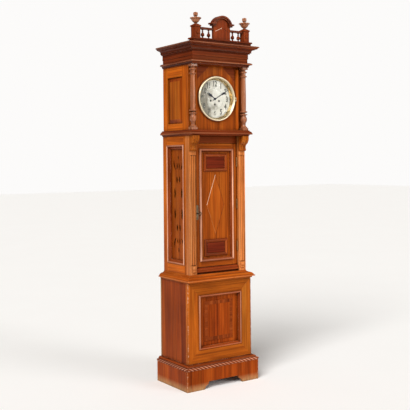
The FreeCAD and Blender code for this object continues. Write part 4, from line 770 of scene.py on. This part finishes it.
def rope_bead():
    """Slanted carving over the roll of the plinth moulding, on the front and both sides."""
    low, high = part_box("plinth_boards")
    roll_z = high.z + 0.008
    inset = 0.005
    radius = 0.0081
    lift = 0.0013
    pitch = 0.027
    around = 12
    step = 0.0022
    front_y = low.y + inset
    right_x = high.x - inset
    depth = high.y - front_y
    runs = (
        ("front", Vector((low.x + inset, front_y, roll_z)), RIGHT, -BACK, high.x - low.x - 2 * inset),
        ("left", Vector((low.x + inset, high.y, roll_z)), -BACK, -RIGHT, depth),
        ("right", Vector((right_x, front_y, roll_z)), BACK, RIGHT, depth),
    )
    for name, start, along, outward, length in runs:
        slant = -LEAN if name == "left" else LEAN
        count = int(length / step)
        vertices = []
        crests = []
        for number in range(count + 1):
            travel = length * number / count
            for turn in range(around + 1):
                angle = math.pi * (turn / around - 0.5)
                wave = 0.5 + 0.5 * math.cos(2 * math.pi * travel / pitch + slant * angle)
                crest = wave ** 0.6
                reach = radius + lift * crest
                offset = outward * (reach * math.cos(angle)) + Vector((0, 0, reach * math.sin(angle)))
                vertices.append(tuple(start + along * travel + offset))
                # The tops of the twists get a crest value: painted highlight.
                crests.append(max(0.0, (crest - 0.78) / 0.22))
        row = around + 1
        faces = [(a, a + 1, a + row + 1, a + row)
                 for number in range(count) for a in range(number * row, number * row + around)]
        faces += [(a + around, a, a + row, a + row + around) for a in range(0, count * row, row)]
        faces += [tuple(reversed(range(row))), tuple(range(count * row, (count + 1) * row))]
        axis = 0 if name == "front" else 1
        piece = mesh_piece("rope_bead_" + name, vertices, faces, WOODS["rope"][axis])
        values = piece.data.attributes.new("crest", "FLOAT", "POINT")
        for item, crest in zip(values.data, crests):
            item.value = crest
        piece.data.shade_smooth()


banding()
lozenge()
spandrels()
chevron()
rope_bead()

# ------------------------------------------------------------------- cables


def cables():
    """Laid cable for both falls of each weight."""
    radius = 0.00085
    around = 8
    rows = 160
    half_thickness = 0.00075
    for side in SIDES:
        low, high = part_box("cable_" + side)
        length = high.z - low.z
        middle_y = (low.y + high.y) / 2
        vertices = []
        faces = []
        for x in (low.x + half_thickness, high.x - half_thickness):
            start = len(vertices)
            for number in range(rows + 1):
                level = low.z + length * number / rows
                for turn in range(around):
                    angle = 2 * math.pi * turn / around
                    lay = radius * (0.84 + 0.16 * abs(math.sin(1.5 * angle + 2.1 * number)))
                    vertices.append((x + lay * math.cos(angle), middle_y + lay * math.sin(angle), level))
            for number in range(rows):
                for turn in range(around):
                    a = start + number * around + turn
                    b = start + number * around + (turn + 1) % around
                    faces.append((a, b, b + around, a + around))
            faces.append(tuple(start + turn for turn in reversed(range(around))))
            faces.append(tuple(start + rows * around + turn for turn in range(around)))
        piece = mesh_piece("laid_cable_" + side, vertices, faces, STEEL)
        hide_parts("cable_" + side)
        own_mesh(piece)


cables()

# --------------------------------------------------------- camera and light


CAMERA_PLACE = (-2.8197, -4.0388, 1.3806)
CAMERA_ANGLES = (90, 0.50, -34.68)  # level, a hair of roll, turned to the clock
ROOM_STRENGTH = 0.22


def look():
    """Camera at standing height, a little to the left of the clock, level, with a falling frame."""
    data = bpy.data.cameras.new("camera")
    data.sensor_width = 36.0
    data.lens = 68.35
    data.shift_y = -0.1048
    camera = bpy.data.objects.new("camera", data)
    bpy.context.scene.collection.objects.link(camera)
    camera.location = CAMERA_PLACE
    camera.rotation_euler = [math.radians(angle) for angle in CAMERA_ANGLES]
    bpy.context.scene.camera = camera


def sun(name, direction, strength, spread, colour):
    """Distant lamp shining along a direction, with a soft edge."""
    data = bpy.data.lights.new(name, "SUN")
    data.energy = strength
    data.angle = math.radians(spread)
    data.color = colour
    lamp = bpy.data.objects.new(name, data)
    bpy.context.scene.collection.objects.link(lamp)
    lamp.rotation_euler = Vector(direction).to_track_quat("-Z", "Y").to_euler()


def floor():
    size = 30.0
    vertices = [(-size, -size, 0), (size, -size, 0), (size, size, 0), (-size, size, 0)]
    mesh = bpy.data.meshes.new("floor")
    mesh.from_pydata(vertices, [], [(0, 1, 2, 3)])
    piece = bpy.data.objects.new("floor", mesh)
    bpy.context.scene.collection.objects.link(piece)
    mesh.materials.append(floor_paint())


def world():
    """White backdrop for the camera, with only a dim grey room around the clock."""
    made = bpy.data.worlds.new("studio")
    made.use_nodes = True
    tree = made.node_tree
    backdrop = tree.nodes["Background"]
    backdrop.inputs["Color"].default_value = (0.975, 0.965, 0.955, 1.0)
    room = tree.nodes.new("ShaderNodeBackground")
    room.inputs["Color"].default_value = (1.0, 0.92, 0.83, 1.0)
    room.inputs["Strength"].default_value = ROOM_STRENGTH
    path = tree.nodes.new("ShaderNodeLightPath")
    choose = tree.nodes.new("ShaderNodeMixShader")
    tree.links.new(path.outputs["Is Camera Ray"], choose.inputs[0])
    tree.links.new(room.outputs[0], choose.inputs[1])
    tree.links.new(backdrop.outputs[0], choose.inputs[2])
    tree.links.new(choose.outputs[0], tree.nodes["World Output"].inputs["Surface"])
    bpy.context.scene.world = made


bpy.context.scene.view_settings.view_transform = "Standard"
look()
floor()
world()
sun("key", (0.74, 0.52, -0.72), 3.35, 34.0, (1.0, 0.98, 0.95))
sun("front", (-0.42, 0.90, -0.28), 1.3, 30.0, (1.0, 0.99, 0.97))
